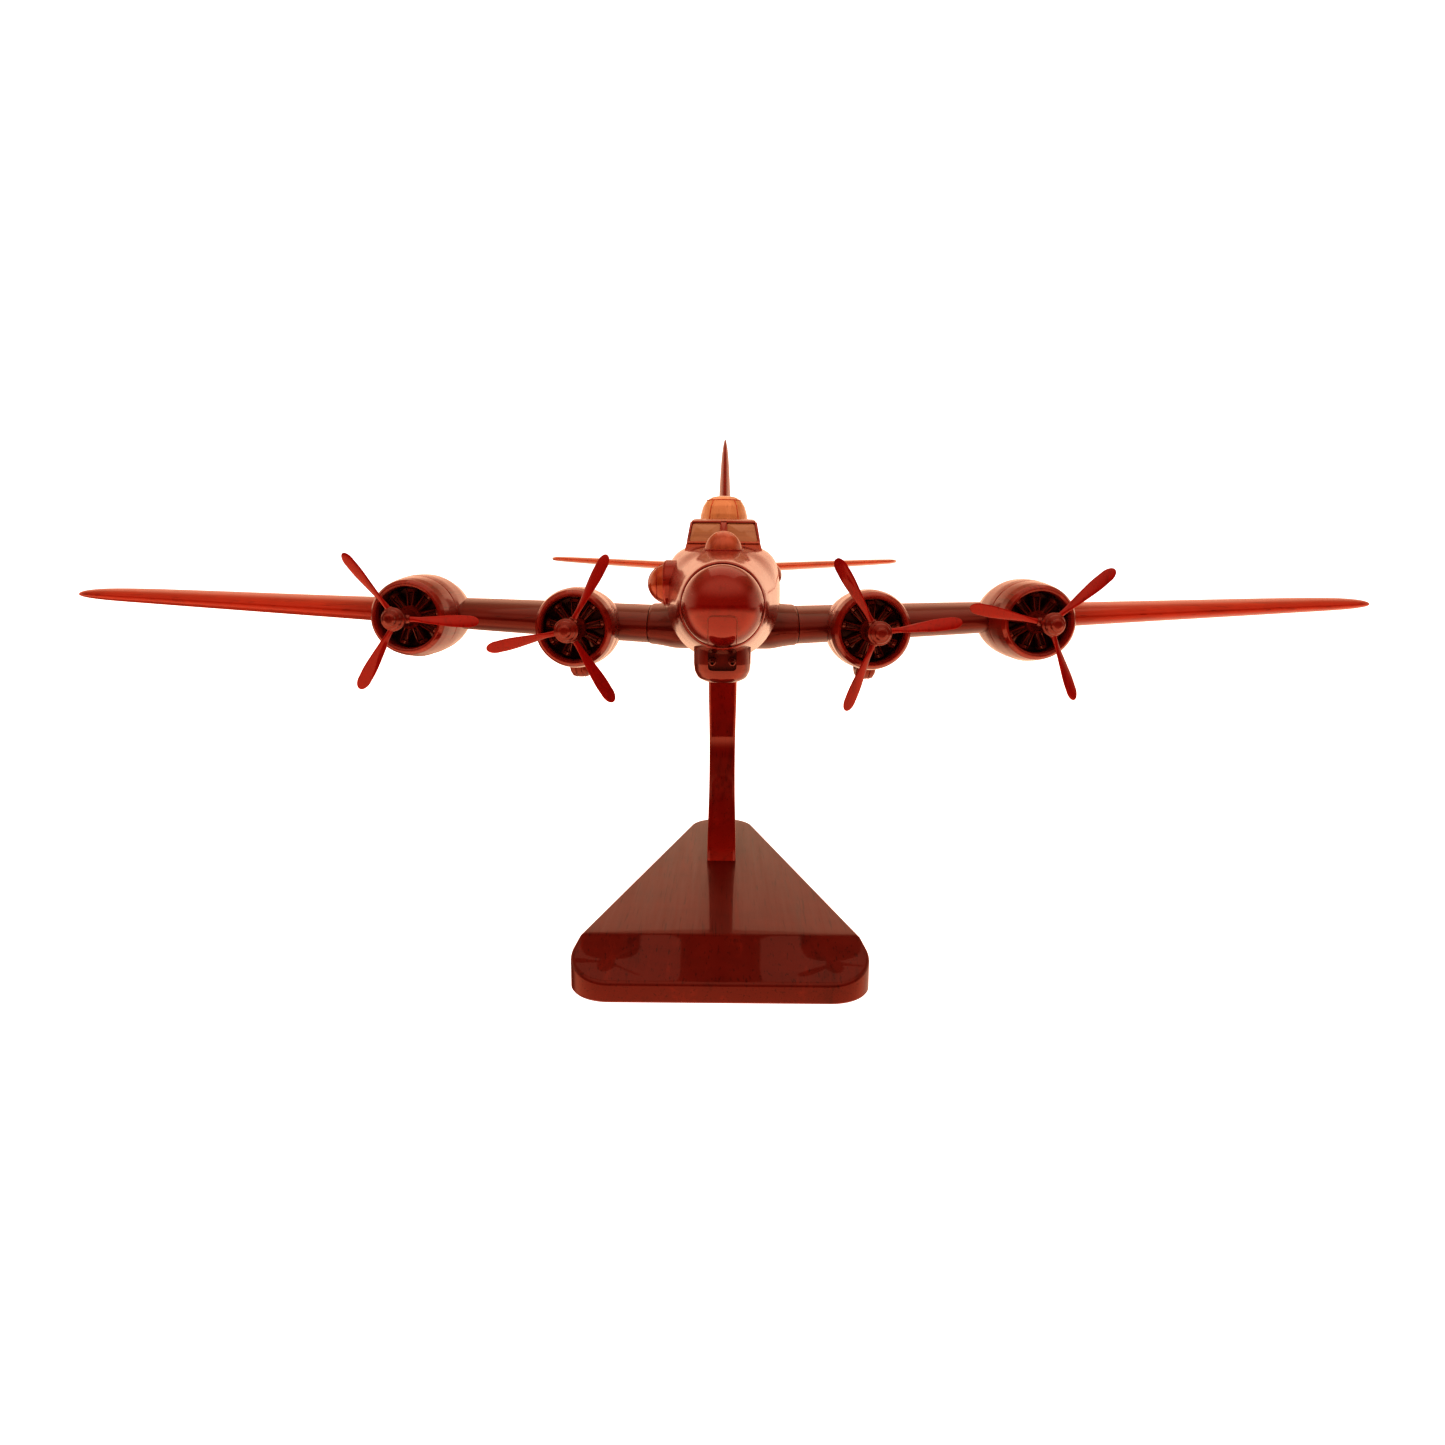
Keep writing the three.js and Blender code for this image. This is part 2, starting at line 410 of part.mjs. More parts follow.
// ---------------------------------------------------------------- base: half plan outline, then the sloping front strip cut away
const PLAN = []; // [y, x] from the rounded tip, along the straight side, round the front corner
for (let i = 0; i <= 6; i++) { const q = 76.87 * i / 6 * Math.PI / 180; PLAN.push([-18.22 + 13.6 * Math.cos(q), 13.6 * Math.sin(q)]); }
for (let i = 0; i <= 8; i++) { const q = (13.13 - 103.13 * i / 8) * Math.PI / 180; PLAN.push([-150.96 + 12.59 * Math.sin(q), 31.96 + 12.59 * Math.cos(q)]); }
PLAN.push([BASE_FRONT_Y, 0]);
const outline = [...PLAN.map(([y, x]) => [x, y]), ...PLAN.slice(1, -1).reverse().map(([y, x]) => [-x, y])];
const baseRings = [[0.6, 0], [0, 0.6], [0, BASE_H - 0.5], [0.5, BASE_H]].map(([inset, z]) => outline.map(([x, y]) => {
  const l = Math.hypot(x, y + 100);
  return V(x * (1 - inset / l), (y + 100) * (1 - inset / l) - 100, z);
}));
const drop = (BASE_H - BASE_EDGE_H) / (BASE_CREASE_Y - BASE_FRONT_Y);
const wedge = solid(loft([-60, 60].map(x => [V(x, BASE_CREASE_Y, BASE_H), V(x, BASE_CREASE_Y, BASE_H + 8), V(x, BASE_FRONT_Y - 10, BASE_H + 8), V(x, BASE_FRONT_Y - 10, BASE_EDGE_H - drop * 10)])));
const base = solid(loft(baseRings)).subtract(wedge);

// ---------------------------------------------------------------- arm: z, front y, back y, width
const ARM = [[BASE_H + GAP, -68.5, -34, 11.2], [16, -66.0, -31, 11.2], [20, -59.5, -26.5, 11.2], [26, -51.5, -22, 10.9], [34, -44.5, -18.6, 10.6], [44, -40.6, -17.2, 10.5],
  [54, -39.6, -17.6, 10.6], [64, -41.2, -19.6, 10.9], [74, -45.0, -22.4, 11.2], [84, -51.0, -26.0, 11.2], [92, -57.0, -28.6, 11.2], [97.5, -60, -29.5, 11.2]];
function armShape() {
  return loft(ARM.map(([z, a, b, w]) => {
    const h = w / 2, c = 0.9;
    return [V(-h + c, a, z), V(h - c, a, z), V(h, a + c, z), V(h, b - c, z), V(h - c, b, z), V(-h + c, b, z), V(-h, b - c, z), V(-h, a + c, z)];
  }));
}
const pegSolid = solid(turned([[0, SADDLE_Z - 10], [PEG_R, SADDLE_Z - 10], [PEG_R, PEG_TOP - 0.8], [PEG_R - 0.8, PEG_TOP], [0, PEG_TOP]], 18, V(0, PEG_Y, 0), 'Z'));
const pegSocket = solid(turned([[0, SADDLE_Z - 10 - GAP], [PEG_R + GAP, SADDLE_Z - 10 - GAP], [PEG_R + GAP, 110], [0, 110]], 18, V(0, PEG_Y, 0), 'Z'));
let arm = solid(armShape()).subtract(fusBig).subtract(pegSocket);
for (const side of ['left', 'right']) arm = arm.subtract(solid(fairingShape(side === 'left' ? -1 : 1)));
arm = largest(arm);

// ---------------------------------------------------------------- assembly
const group = new THREE.Group();
group.name = 'desk_aircraft_model';
function add(name, m, colour, rough = 0.28, metal = 0) {
  const mesh = new THREE.Mesh(geometry(m), new THREE.MeshStandardMaterial({ color: colour, roughness: rough, metalness: metal }));
  mesh.name = name;
  group.add(mesh);
}
const WOOD = 0x6e1a0d, DARK = 0x4a0c06, RED = 0x9c1f12, AMBER = 0xb8703c, PANE = 0x8f6a4e;
add('base_plinth', base, 0x6b2c1e);
add('stand_arm', arm, 0x5a0f07);
add('stand_peg', pegSolid, 0xa8764a, 0.5);
add('fuselage', fuselage, WOOD);
add('nose_dome', noseDome, 0x8a2415, 0.12);
add('canopy', canopy, 0x7a3220);
for (const k of Object.keys(panes)) add(k, panes[k], PANE, 0.15);
add('astrodome', astrodome, AMBER, 0.15);
add('top_turret_ring', topRing, WOOD);
add('top_turret_dome', topDome, AMBER, 0.15);
add('chin_turret', chin, DARK);
for (const k of Object.keys(barrels)) add(k, barrels[k], 0x1c0b07, 0.4);
add('cheek_blister_left', cheekL, AMBER, 0.15);
add('cheek_frame_left', frameL, WOOD);
add('cheek_blister_right', cheekR, AMBER, 0.15);
for (const side of ['left', 'right']) {
  add('wing_' + side, wings[side], 0x8c2a14);
  add('wing_root_' + side, fairings[side], WOOD);
  add('wheel_' + side, wheels[side], 0x6a3020, 0.4);
  add('tailplane_' + side, tails[side], 0xa04a24);
}
for (let e = 0; e < 4; e++) {
  add('nacelle_' + (e + 1), nacelles[e], WOOD);
  add('cowl_' + (e + 1), cowls[e], WOOD);
  add('engine_' + (e + 1), engines[e], 0x2a0a06, 0.4);
  add('propeller_' + (e + 1), props[e], RED);
  add('hub_cap_' + (e + 1), caps[e], RED);
}
add('fin', fin, 0x7a2416);
export default group;
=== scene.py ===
import math
import bpy
import bmesh
import json
import numpy as np
from mathutils import Matrix, Vector


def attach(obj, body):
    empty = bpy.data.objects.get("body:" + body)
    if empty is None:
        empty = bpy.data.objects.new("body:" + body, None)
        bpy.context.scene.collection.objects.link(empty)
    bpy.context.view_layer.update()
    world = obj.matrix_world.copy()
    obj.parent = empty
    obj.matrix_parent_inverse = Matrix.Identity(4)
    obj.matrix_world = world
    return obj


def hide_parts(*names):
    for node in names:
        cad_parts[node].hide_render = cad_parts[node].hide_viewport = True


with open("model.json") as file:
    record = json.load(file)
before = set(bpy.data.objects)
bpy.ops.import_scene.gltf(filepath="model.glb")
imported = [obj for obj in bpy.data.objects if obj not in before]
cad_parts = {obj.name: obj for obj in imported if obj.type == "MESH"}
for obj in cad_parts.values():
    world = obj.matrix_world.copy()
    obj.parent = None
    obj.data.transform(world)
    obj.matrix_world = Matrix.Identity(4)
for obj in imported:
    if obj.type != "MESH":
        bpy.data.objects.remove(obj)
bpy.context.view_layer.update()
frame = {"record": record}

BODY_OF = {n: b for b, ns in frame["record"]["behaviour"]["bodies"].items() for n in ns}
MM = 0.001
GAP = 0.3

# ------------------------------------------------------------------ driving dimensions, mm, the same as the solids'
ENG_IN_X, ENG_IN_Z, ENG_IN_LIP = 52.2, 103.2, -92.0
ENG_OUT_X, ENG_OUT_Z, ENG_OUT_LIP = 113.5, 106.1, -81.4
COWL_R, MOUTH_R, COWL_LEN = 14.1, 10.8, 12.0
PROP_R, PROP_AHEAD, PROP_BORE, SHAFT_R = 28.5, 9.4, 1.2, 1.1
BLADE_DEG = [[-1.7, 128.8, 240.0], [61.8, 193.6, 301.8], [7.7, 120.9, 249.3], [41.5, 168.7, 291.4]]
WING_Z0, DIHEDRAL, ROOT_X = 100.8, 0.046, 27.5
BASE_H, BASE_EDGE_H, BASE_CREASE_Y, BASE_FRONT_Y = 12.7, 6.3, -143.2, -163.55
PEG_R, PEG_Y, PEG_TOP, SADDLE_Z = 2.5, -42.0, 103.0, 92.0
CHIN_Y, TURRET_Y = -154.0, -88.0


# ------------------------------------------------------------------ camera
def camera():
    f, vx, vy, roll = 916.0, 724.0, 578.0, math.radians(0.45)
    a, b = (vx - 722.5) / f, (722.5 - vy) / f
    pitch, yaw = math.atan(b / math.sqrt(1 + a * a)), math.atan(a)
    fwd = np.array([-math.sin(yaw) * math.cos(pitch), math.cos(yaw) * math.cos(pitch), -math.sin(pitch)])
    right = np.array([math.cos(yaw), math.sin(yaw), 0.0])
    up = np.cross(right, fwd)
    r = right * math.cos(roll) + up * math.sin(roll)
    u = -right * math.sin(roll) + up * math.cos(roll)
    cam = bpy.data.objects.new("camera", bpy.data.cameras.new("camera"))
    bpy.context.scene.collection.objects.link(cam)
    m = Matrix(((r[0], u[0], -fwd[0], 0.6 * MM), (r[1], u[1], -fwd[1], -411 * MM), (r[2], u[2], -fwd[2], 121 * MM), (0, 0, 0, 1)))
    cam.matrix_world = m
    cam.data.sensor_width = 36
    cam.data.lens = 36 * f / 1445
    cam.data.clip_start, cam.data.clip_end = 0.005, 50
    bpy.context.scene.camera = cam


camera()


# ------------------------------------------------------------------ numbers
def pchip(x, y, q):
    x, y, q = np.asarray(x, float), np.asarray(y, float), np.asarray(q, float)
    h = np.diff(x)
    d = np.diff(y) / h
    m = np.zeros_like(y)
    for i in range(1, len(x) - 1):
        if d[i - 1] * d[i] > 0:
            w1, w2 = 2 * h[i] + h[i - 1], h[i] + 2 * h[i - 1]
            m[i] = (w1 + w2) / (w1 / d[i - 1] + w2 / d[i])
    m[0], m[-1] = d[0], d[-1]
    k = np.clip(np.searchsorted(x, q) - 1, 0, len(h) - 1)
    t = np.clip((q - x[k]) / h[k], 0, 1)
    return y[k] * (1 + 2 * t) * (1 - t) ** 2 + h[k] * m[k] * t * (1 - t) ** 2 + y[k + 1] * t * t * (3 - 2 * t) - h[k] * m[k + 1] * t * t * (1 - t)


def table(rows, q):
    a = np.asarray(rows, float)
    return np.stack([pchip(a[:, 0], a[:, i], q) for i in range(1, a.shape[1])], 1)


def fillet(pts, r, n=5, closed=False):
    """2-D polyline with its corners rounded; r is one radius or one per point."""
    pts = [np.asarray(p, float) for p in pts]
    rs = [r] * len(pts) if np.isscalar(r) else list(r)
    out = []
    for i, p in enumerate(pts):
        if (not closed and i in (0, len(pts) - 1)) or rs[i] <= 0:
            out.append(p)
            continue
        a, b = pts[i - 1], pts[(i + 1) % len(pts)]
        u, v = a - p, b - p
        lu, lv = np.linalg.norm(u), np.linalg.norm(v)
        if lu < 1e-9 or lv < 1e-9:
            out.append(p)
            continue
        u, v = u / lu, v / lv
        half = math.acos(max(-1, min(1, float(u @ v)))) / 2
        if half > math.pi / 2 - 0.02:
            out.append(p)
            continue
        t = min(rs[i] / math.tan(half), 0.48 * lu, 0.48 * lv)
        s, e = p + u * t, p + v * t
        for k in range(n + 1):
            w = k / n
            out.append((1 - w) ** 2 * s + 2 * w * (1 - w) * p + w * w * e)
    return np.array(out)


# ------------------------------------------------------------------ meshes
def loft(rings, cap_a=True, cap_b=True, wrap=False):
    """rings: (n, k, 3). Returns vertices and faces; a ring whose points coincide is a pole."""
    rings = np.asarray(rings, float)
    n, k, _ = rings.shape
    verts = rings.reshape(-1, 3).tolist()
    faces = []
    for i in range(n if wrap else n - 1):
        a, b = i * k, ((i + 1) % n) * k
        for j in range(k):
            l = (j + 1) % k
            faces.append((a + j, a + l, b + l, b + j))
    for ring, flip, on in ((0, True, cap_a), (n - 1, False, cap_b)):
        if on and not wrap:
            c = len(verts)
            verts.append(rings[ring].mean(0).tolist())
            for j in range(k):
                l = (j + 1) % k
                f = (c, ring * k + j, ring * k + l)
                faces.append(f[::-1] if flip else f)
    return verts, faces


def lathe(profile, segs, centre, axis="Y", wrap=False, phase=0.0):
    rings = []
    for r, s in profile:
        t = phase + np.arange(segs) * 2 * math.pi / segs
        u, w, o = r * np.cos(t), r * np.sin(t), np.full(segs, s)
        p = {"Y": np.stack([u, o, w], 1), "Z": np.stack([u, w, o], 1), "X": np.stack([o, u, w], 1)}[axis]
        rings.append(p + np.asarray(centre))
    return loft(rings, False, False, wrap)


def join(*parts):
    verts, faces = [], []
    for v, f in parts:
        o = len(verts)
        verts += [list(p) for p in v]
        faces += [tuple(i + o for i in q) for q in f]
    return verts, faces


def make(name, geo, mat, angle=35, weld=True):
    verts, faces = geo
    me = bpy.data.meshes.new(name)
    me.from_pydata((np.asarray(verts, float) * MM).tolist(), [], faces)
    bm = bmesh.new()
    bm.from_mesh(me)
    if weld:
        bmesh.ops.remove_doubles(bm, verts=bm.verts, dist=2e-7)
        bmesh.ops.dissolve_degenerate(bm, edges=bm.edges, dist=1e-8)
    bmesh.ops.recalc_face_normals(bm, faces=bm.faces)
    bm.to_mesh(me)
    bm.free()
    for p in me.polygons:
        p.use_smooth = True
    me.set_sharp_from_angle(angle=math.radians(angle))
    me.materials.append(mat)
    ob = bpy.data.objects.new(name, me)
    bpy.context.scene.collection.objects.link(ob)
    return ob


def put(ob, node, replace=True, body=None):
    """ob stands for a CAD node, or is a detail on it."""
    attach(ob, body or BODY_OF[node])
    if replace:
        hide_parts(node)
    return ob


def cut(ob, *tools):
    """Boolean difference, applied."""
    for t in tools:
        m = ob.modifiers.new("cut", "BOOLEAN")
        m.operation, m.solver, m.object = "DIFFERENCE", "EXACT", t
    dg = bpy.context.evaluated_depsgraph_get()
    new = bpy.data.meshes.new_from_object(ob.evaluated_get(dg))
    ob.modifiers.clear()
    ob.data = new
    for p in new.polygons:
        p.use_smooth = True
    new.set_sharp_from_angle(angle=math.radians(35))
    for t in tools:
        me = t.data
        bpy.data.objects.remove(t)
        bpy.data.meshes.remove(me)
    return ob


def tube(points, r, segs=10, closed=False, flat=None):
    """Round cord-like bead along points; returns geometry. flat = (normal list) is not used."""
    pts = np.asarray(points, float)
    n = len(pts)
    rings = []
    prev = None
    for i in range(n):
        a, b = pts[(i - 1) % n] if (closed or i > 0) else pts[i], pts[(i + 1) % n] if (closed or i < n - 1) else pts[i]
        t = b - a
        t /= np.linalg.norm(t)
        if prev is None:
            prev = np.array([0, 0, 1.0]) if abs(t[2]) < 0.9 else np.array([1.0, 0, 0])
        u = prev - t * (prev @ t)
        u /= np.linalg.norm(u)
        w = np.cross(t, u)
        prev = u
        k = np.arange(segs) * 2 * math.pi / segs
        rings.append(pts[i] + r * (np.cos(k)[:, None] * u + np.sin(k)[:, None] * w))
    return loft(rings, not closed, not closed, closed)


# ------------------------------------------------------------------ materials
def nodes(name):
    m = bpy.data.materials.new(name)
    m.use_nodes = True
    t = m.node_tree
    t.nodes.clear()
    out = t.nodes.new("ShaderNodeOutputMaterial")
    bs = t.nodes.new("ShaderNodeBsdfPrincipled")
    t.links.new(bs.outputs[0], out.inputs[0])
    return m, t, bs


def math_node(t, op, a, b=None, c=None, clamp=False):
    n = t.nodes.new("ShaderNodeMath")
    n.operation, n.use_clamp = op, clamp
    for i, v in enumerate((a, b, c)):
        if v is None:
            continue
        if isinstance(v, (int, float)):
            n.inputs[i].default_value = v
        else:
            t.links.new(v, n.inputs[i])
    return n.outputs[0]


def noise(t, vec, scale, detail=3.0, rough=0.5, dist=0.0):
    n = t.nodes.new("ShaderNodeTexNoise")
    n.inputs["Scale"].default_value = scale
    n.inputs["Detail"].default_value = detail
    n.inputs["Roughness"].default_value = rough
    n.inputs["Distortion"].default_value = dist
    t.links.new(vec, n.inputs["Vector"])
    return n.outputs["Fac"]


def mapping(t, vec, scale, rot=(0, 0, 0), loc=(0, 0, 0)):
    n = t.nodes.new("ShaderNodeMapping")
    n.inputs["Scale"].default_value = scale
    n.inputs["Rotation"].default_value = rot
    n.inputs["Location"].default_value = loc
    t.links.new(vec, n.inputs["Vector"])
    return n.outputs[0]


def ramp(t, fac, stops):
    n = t.nodes.new("ShaderNodeValToRGB")
    el = n.color_ramp.elements
    while len(el) < len(stops):
        el.new(0.5)
    for e, (p, c) in zip(el, stops):
        e.position = p
        e.color = (*c, 1) if len(c) == 3 else c
    t.links.new(fac, n.inputs[0])
    return n.outputs[0]


def mix(t, fac, a, b, mode="MIX"):
    n = t.nodes.new("ShaderNodeMix")
    n.data_type, n.blend_type = "RGBA", mode
    for s, v in ((n.inputs[0], fac), (n.inputs[6], a), (n.inputs[7], b)):
        if isinstance(v, (int, float)):
            s.default_value = v
        elif isinstance(v, tuple):
            s.default_value = (*v, 1) if len(v) == 3 else v
        else:
            t.links.new(v, s)
    return n.outputs[2]


def wood(name, dark, mid, light, grain="Y", seed=0.0, coat=1.0, rough=(0.30, 0.46), peel=0.05, figure=0.16, pore=0.45, band=1.0, tint=None, gloss=0.035):
    """Stained and lacquered mahogany: long grain, short dark pores, cross-grain figure, a clear coat with slight orange peel."""
    m, t, bs = nodes(name)
    tc = t.nodes.new("ShaderNodeTexCoord").outputs["Object"]
    along, across = 0.07, 1.0
    def sc(s, stretch):
        v = [s, s, s]
        v["XYZ".index(grain)] = s * stretch
        return tuple(v)
    loc = (seed * 1.7, seed * 0.9, seed * 2.3)
    warp = noise(t, mapping(t, tc, sc(28, 0.5), loc=loc), 1.0, 2.0, 0.5)
    bend = t.nodes.new("ShaderNodeVectorMath")
    bend.operation = "SCALE"
    bend.inputs["Scale"].default_value = 0.35
    comb = t.nodes.new("ShaderNodeCombineXYZ")
    for i in range(3):
        t.links.new(warp, comb.inputs[i])
    t.links.new(comb.outputs[0], bend.inputs[0])
    grainvec = mapping(t, tc, sc(150 * band, along), rot=(0.02, 0.05, 0.03), loc=loc)
    add = t.nodes.new("ShaderNodeVectorMath")
    t.links.new(grainvec, add.inputs[0])
    t.links.new(bend.outputs[0], add.inputs[1])
    g = noise(t, add.outputs[0], 1.0, 5.0, 0.62, 0.5)
    g2 = noise(t, mapping(t, tc, sc(620 * band, 0.035), loc=loc), 1.0, 3.0, 0.6, 0.2)
    mixed = math_node(t, "ADD", math_node(t, "MULTIPLY", g, 0.66), math_node(t, "MULTIPLY", g2, 0.34))
    col = ramp(t, mixed, [(0.30, dark), (0.47, mid), (0.58, mid), (0.74, light)])
    fig = noise(t, mapping(t, tc, sc(55, 1.6), rot=(0.3, 0.2, 0.5), loc=loc), 1.0, 2.0, 0.5, 0.8)
    bright = math_node(t, "MULTIPLY_ADD", fig, 2 * figure, 1 - figure)
    v = t.nodes.new("ShaderNodeVectorMath")
    v.operation = "SCALE"
    t.links.new(col, v.inputs[0])
    t.links.new(bright, v.inputs["Scale"])
    col = v.outputs[0]
    pores = noise(t, mapping(t, tc, sc(1500, 0.045), loc=loc), 1.0, 1.5, 0.5)
    pm = t.nodes.new("ShaderNodeMapRange")
    pm.inputs["From Min"].default_value, pm.inputs["From Max"].default_value = 0.60, 0.72
    pm.interpolation_type = "SMOOTHSTEP"
    t.links.new(pores, pm.inputs[0])
    col = mix(t, math_node(t, "MULTIPLY", pm.outputs[0], pore), col, tuple(c * 0.25 for c in dark))
    if tint:
        # colour drifting along one axis: (axis, from, to, colour)
        ax, a, b, c = tint
        sep = t.nodes.new("ShaderNodeSeparateXYZ")
        t.links.new(tc, sep.inputs[0])
        mr = t.nodes.new("ShaderNodeMapRange")
        mr.interpolation_type = "SMOOTHSTEP"
        mr.inputs["From Min"].default_value, mr.inputs["From Max"].default_value = a, b
        t.links.new(math_node(t, "ABSOLUTE", sep.outputs["XYZ".index(ax)]), mr.inputs[0])
        col = mix(t, mr.outputs[0], col, mix(t, 1.0, col, c, "MULTIPLY"))
    # slightly lighter convex edges, picked by pointiness and broken up by noise
    geo = t.nodes.new("ShaderNodeNewGeometry")
    er = t.nodes.new("ShaderNodeMapRange")
    er.inputs["From Min"].default_value, er.inputs["From Max"].default_value = 0.53, 0.62
    t.links.new(geo.outputs["Pointiness"], er.inputs[0])
    edge_break_noise = noise(t, mapping(t, tc, (260, 260, 260)), 1.0, 3.0, 0.6)
    col = mix(t, math_node(t, "MULTIPLY", math_node(t, "MULTIPLY", er.outputs[0], edge_break_noise), 0.45), col, tuple(min(1, c * 1.5 + 0.01) for c in light))
    t.links.new(col, bs.inputs["Base Color"])
    r = math_node(t, "MULTIPLY_ADD", g2, rough[1] - rough[0], rough[0])
    t.links.new(r, bs.inputs["Roughness"])
    bump = t.nodes.new("ShaderNodeBump")
    bump.inputs["Strength"].default_value = 0.25
    bump.inputs["Distance"].default_value = 0.00004
    t.links.new(math_node(t, "SUBTRACT", g2, math_node(t, "MULTIPLY", pm.outputs[0], 0.8)), bump.inputs["Height"])
    t.links.new(bump.outputs[0], bs.inputs["Normal"])
    bs.inputs["Specular IOR Level"].default_value = 0.15
    bs.inputs["Coat Weight"].default_value = coat
    bs.inputs["Coat Roughness"].default_value = gloss
    bs.inputs["Coat IOR"].default_value = 1.5
    if peel:
        pn = noise(t, mapping(t, tc, (330, 330, 330), loc=loc), 1.0, 2.0, 0.5)
        b2 = t.nodes.new("ShaderNodeBump")
        b2.inputs["Strength"].default_value = peel
        b2.inputs["Distance"].default_value = 0.00012
        t.links.new(pn, b2.inputs["Height"])
        t.links.new(b2.outputs[0], bs.inputs["Coat Normal"])
    return m


BODY_C = dict(dark=(0.085, 0.009, 0.004), mid=(0.20, 0.020, 0.009), light=(0.34, 0.045, 0.017))
M_BODY = wood("mahogany_body", grain="Y", seed=1, gloss=0.11, **BODY_C)
M_FIN = wood("mahogany_fin", grain="Z", seed=4, coat=0.4, **BODY_C)
M_WING = wood("mahogany_wing", (0.055, 0.007, 0.003), (0.105, 0.013, 0.006), (0.16, 0.023, 0.010), grain="X", seed=2, figure=0.14,
              tint=("X", 0.10, 0.16, (3.3, 3.9, 3.0)), coat=0.35)
M_TAIL = wood("mahogany_tail", (0.26, 0.065, 0.022), (0.42, 0.12, 0.042), (0.55, 0.19, 0.07), grain="X", seed=3)
M_BASE = wood("mahogany_base", (0.060, 0.009, 0.005), (0.105, 0.015, 0.008), (0.17, 0.026, 0.013), coat=0.38, grain="Y", seed=5, band=0.8, figure=0.22)
M_ARM = wood("mahogany_arm", (0.13, 0.011, 0.005), (0.25, 0.022, 0.009), (0.38, 0.040, 0.014), grain="Z", seed=6, figure=0.22)
M_PROP = wood("propeller_red", (0.13, 0.006, 0.003), (0.26, 0.010, 0.004), (0.37, 0.018, 0.007), coat=0.6, grain="Z", seed=7, peel=0.03, pore=0.3)
M_DOME = wood("nose_glaze", (0.12, 0.009, 0.005), (0.19, 0.014, 0.008), (0.26, 0.022, 0.012), grain="Y", seed=8, rough=(0.22, 0.3), peel=0.015, pore=0.15, figure=0.08)
M_RIB = wood("turret_rib", (0.30, 0.07, 0.03), (0.45, 0.12, 0.05), (0.55, 0.18, 0.08), grain="Z", seed=20, peel=0.02, pore=0.2)
M_AMBER = wood("amber_dome", (0.42, 0.31, 0.15), (0.60, 0.48, 0.26), (0.76, 0.66, 0.40), grain="Z", seed=9, rough=(0.2, 0.3), peel=0.02, pore=0.2, figure=0.15)
M_BLISTER = wood("amber_blister", (0.17, 0.045, 0.013), (0.32, 0.095, 0.028), (0.48, 0.17, 0.055), grain="Z", seed=17, rough=(0.2, 0.3), peel=0.02, pore=0.2)
M_ASTRO = wood("copper_dome", (0.24, 0.09, 0.05), (0.38, 0.16, 0.09), (0.50, 0.24, 0.14), grain="Z", seed=18, rough=(0.2, 0.3), peel=0.02, pore=0.2)
M_PANE = wood("window_inlay", (0.19, 0.13, 0.065), (0.28, 0.22, 0.12), (0.38, 0.32, 0.19), grain="X", seed=10, rough=(0.3, 0.4), peel=0.02, pore=0.3, figure=0.12)
M_DARK = wood("dark_engine", (0.035, 0.006, 0.003), (0.11, 0.017, 0.008), (0.24, 0.042, 0.018), grain="Y", seed=11, rough=(0.3, 0.5), pore=0.2)
M_WHEEL = wood("wheel_wood", (0.10, 0.025, 0.012), (0.19, 0.055, 0.028), (0.28, 0.09, 0.05), grain="Y", seed=12, coat=0.5, rough=(0.4, 0.55))
M_BLACK = wood("black_pin", (0.008, 0.003, 0.002), (0.02, 0.007, 0.004), (0.05, 0.015, 0.008), grain="Y", seed=13, coat=0.4, rough=(0.4, 0.5), pore=0.1)
M_HUB = wood("propeller_hub", (0.07, 0.010, 0.006), (0.15, 0.020, 0.011), (0.26, 0.045, 0.022), grain="Y", seed=19, peel=0.02, pore=0.3)
M_CANOPY = wood("cockpit_wood", (0.17, 0.045, 0.022), (0.29, 0.090, 0.048), (0.40, 0.15, 0.085), grain="Y", seed=21, gloss=0.11, peel=0.03)
M_FRAME = wood("window_frame", (0.10, 0.014, 0.007), (0.20, 0.032, 0.016), (0.31, 0.06, 0.030), grain="X", seed=16, peel=0.02)
M_PEG = wood("bare_dowel", (0.42, 0.22, 0.10), (0.58, 0.36, 0.18), (0.70, 0.48, 0.27), grain="Z", seed=14, coat=0.0, rough=(0.5, 0.7), peel=0)
M_LINE = wood("scribed_line", (0.012, 0.003, 0.002), (0.03, 0.005, 0.003), (0.06, 0.010, 0.005), grain="Y", seed=15, coat=0.6, rough=(0.4, 0.5), pore=0.1)

# ------------------------------------------------------------------ fuselage
FUS = [  # station, centre z, half width, half height, squareness of the upper half
    [-170, 113.8, 11.2, 11.4, 2], [-164, 113.6, 12.4, 12.5, 2], [-156, 113.4, 13.6, 13.7, 2.1], [-146, 113.2, 15.1, 15.0, 2.3],
    [-134, 113.2, 16.6, 16.8, 3.0], [-120, 113.7, 17.8, 17.6, 3.6], [-104, 113.5, 18.8, 18.5, 3.6], [-84, 113.2, 19.6, 19.1, 3.3],
    [-60, 113.0, 19.9, 19.5, 2.8], [-34, 113.1, 19.6, 19.3, 2.4], [-8, 113.5, 18.6, 18.5, 2.1], [18, 114.3, 17.0, 17.0, 2],
    [46, 115.6, 14.8, 14.9, 2], [74, 117.2, 12.4, 12.6, 2], [102, 119.1, 10.0, 10.4, 2], [128, 120.9, 7.8, 8.4, 2],
    [150, 122.3, 6.0, 6.8, 2], [166, 123.2, 4.9, 5.6, 2], [176, 123.7, 4.0, 4.6, 2], [180.5, 123.9, 2.8, 3.2, 2], [182, 124.0, 1.2, 1.4, 2]]


def fus_at(y):
    return table(FUS, np.atleast_1d(np.clip(y, -170, 182)))


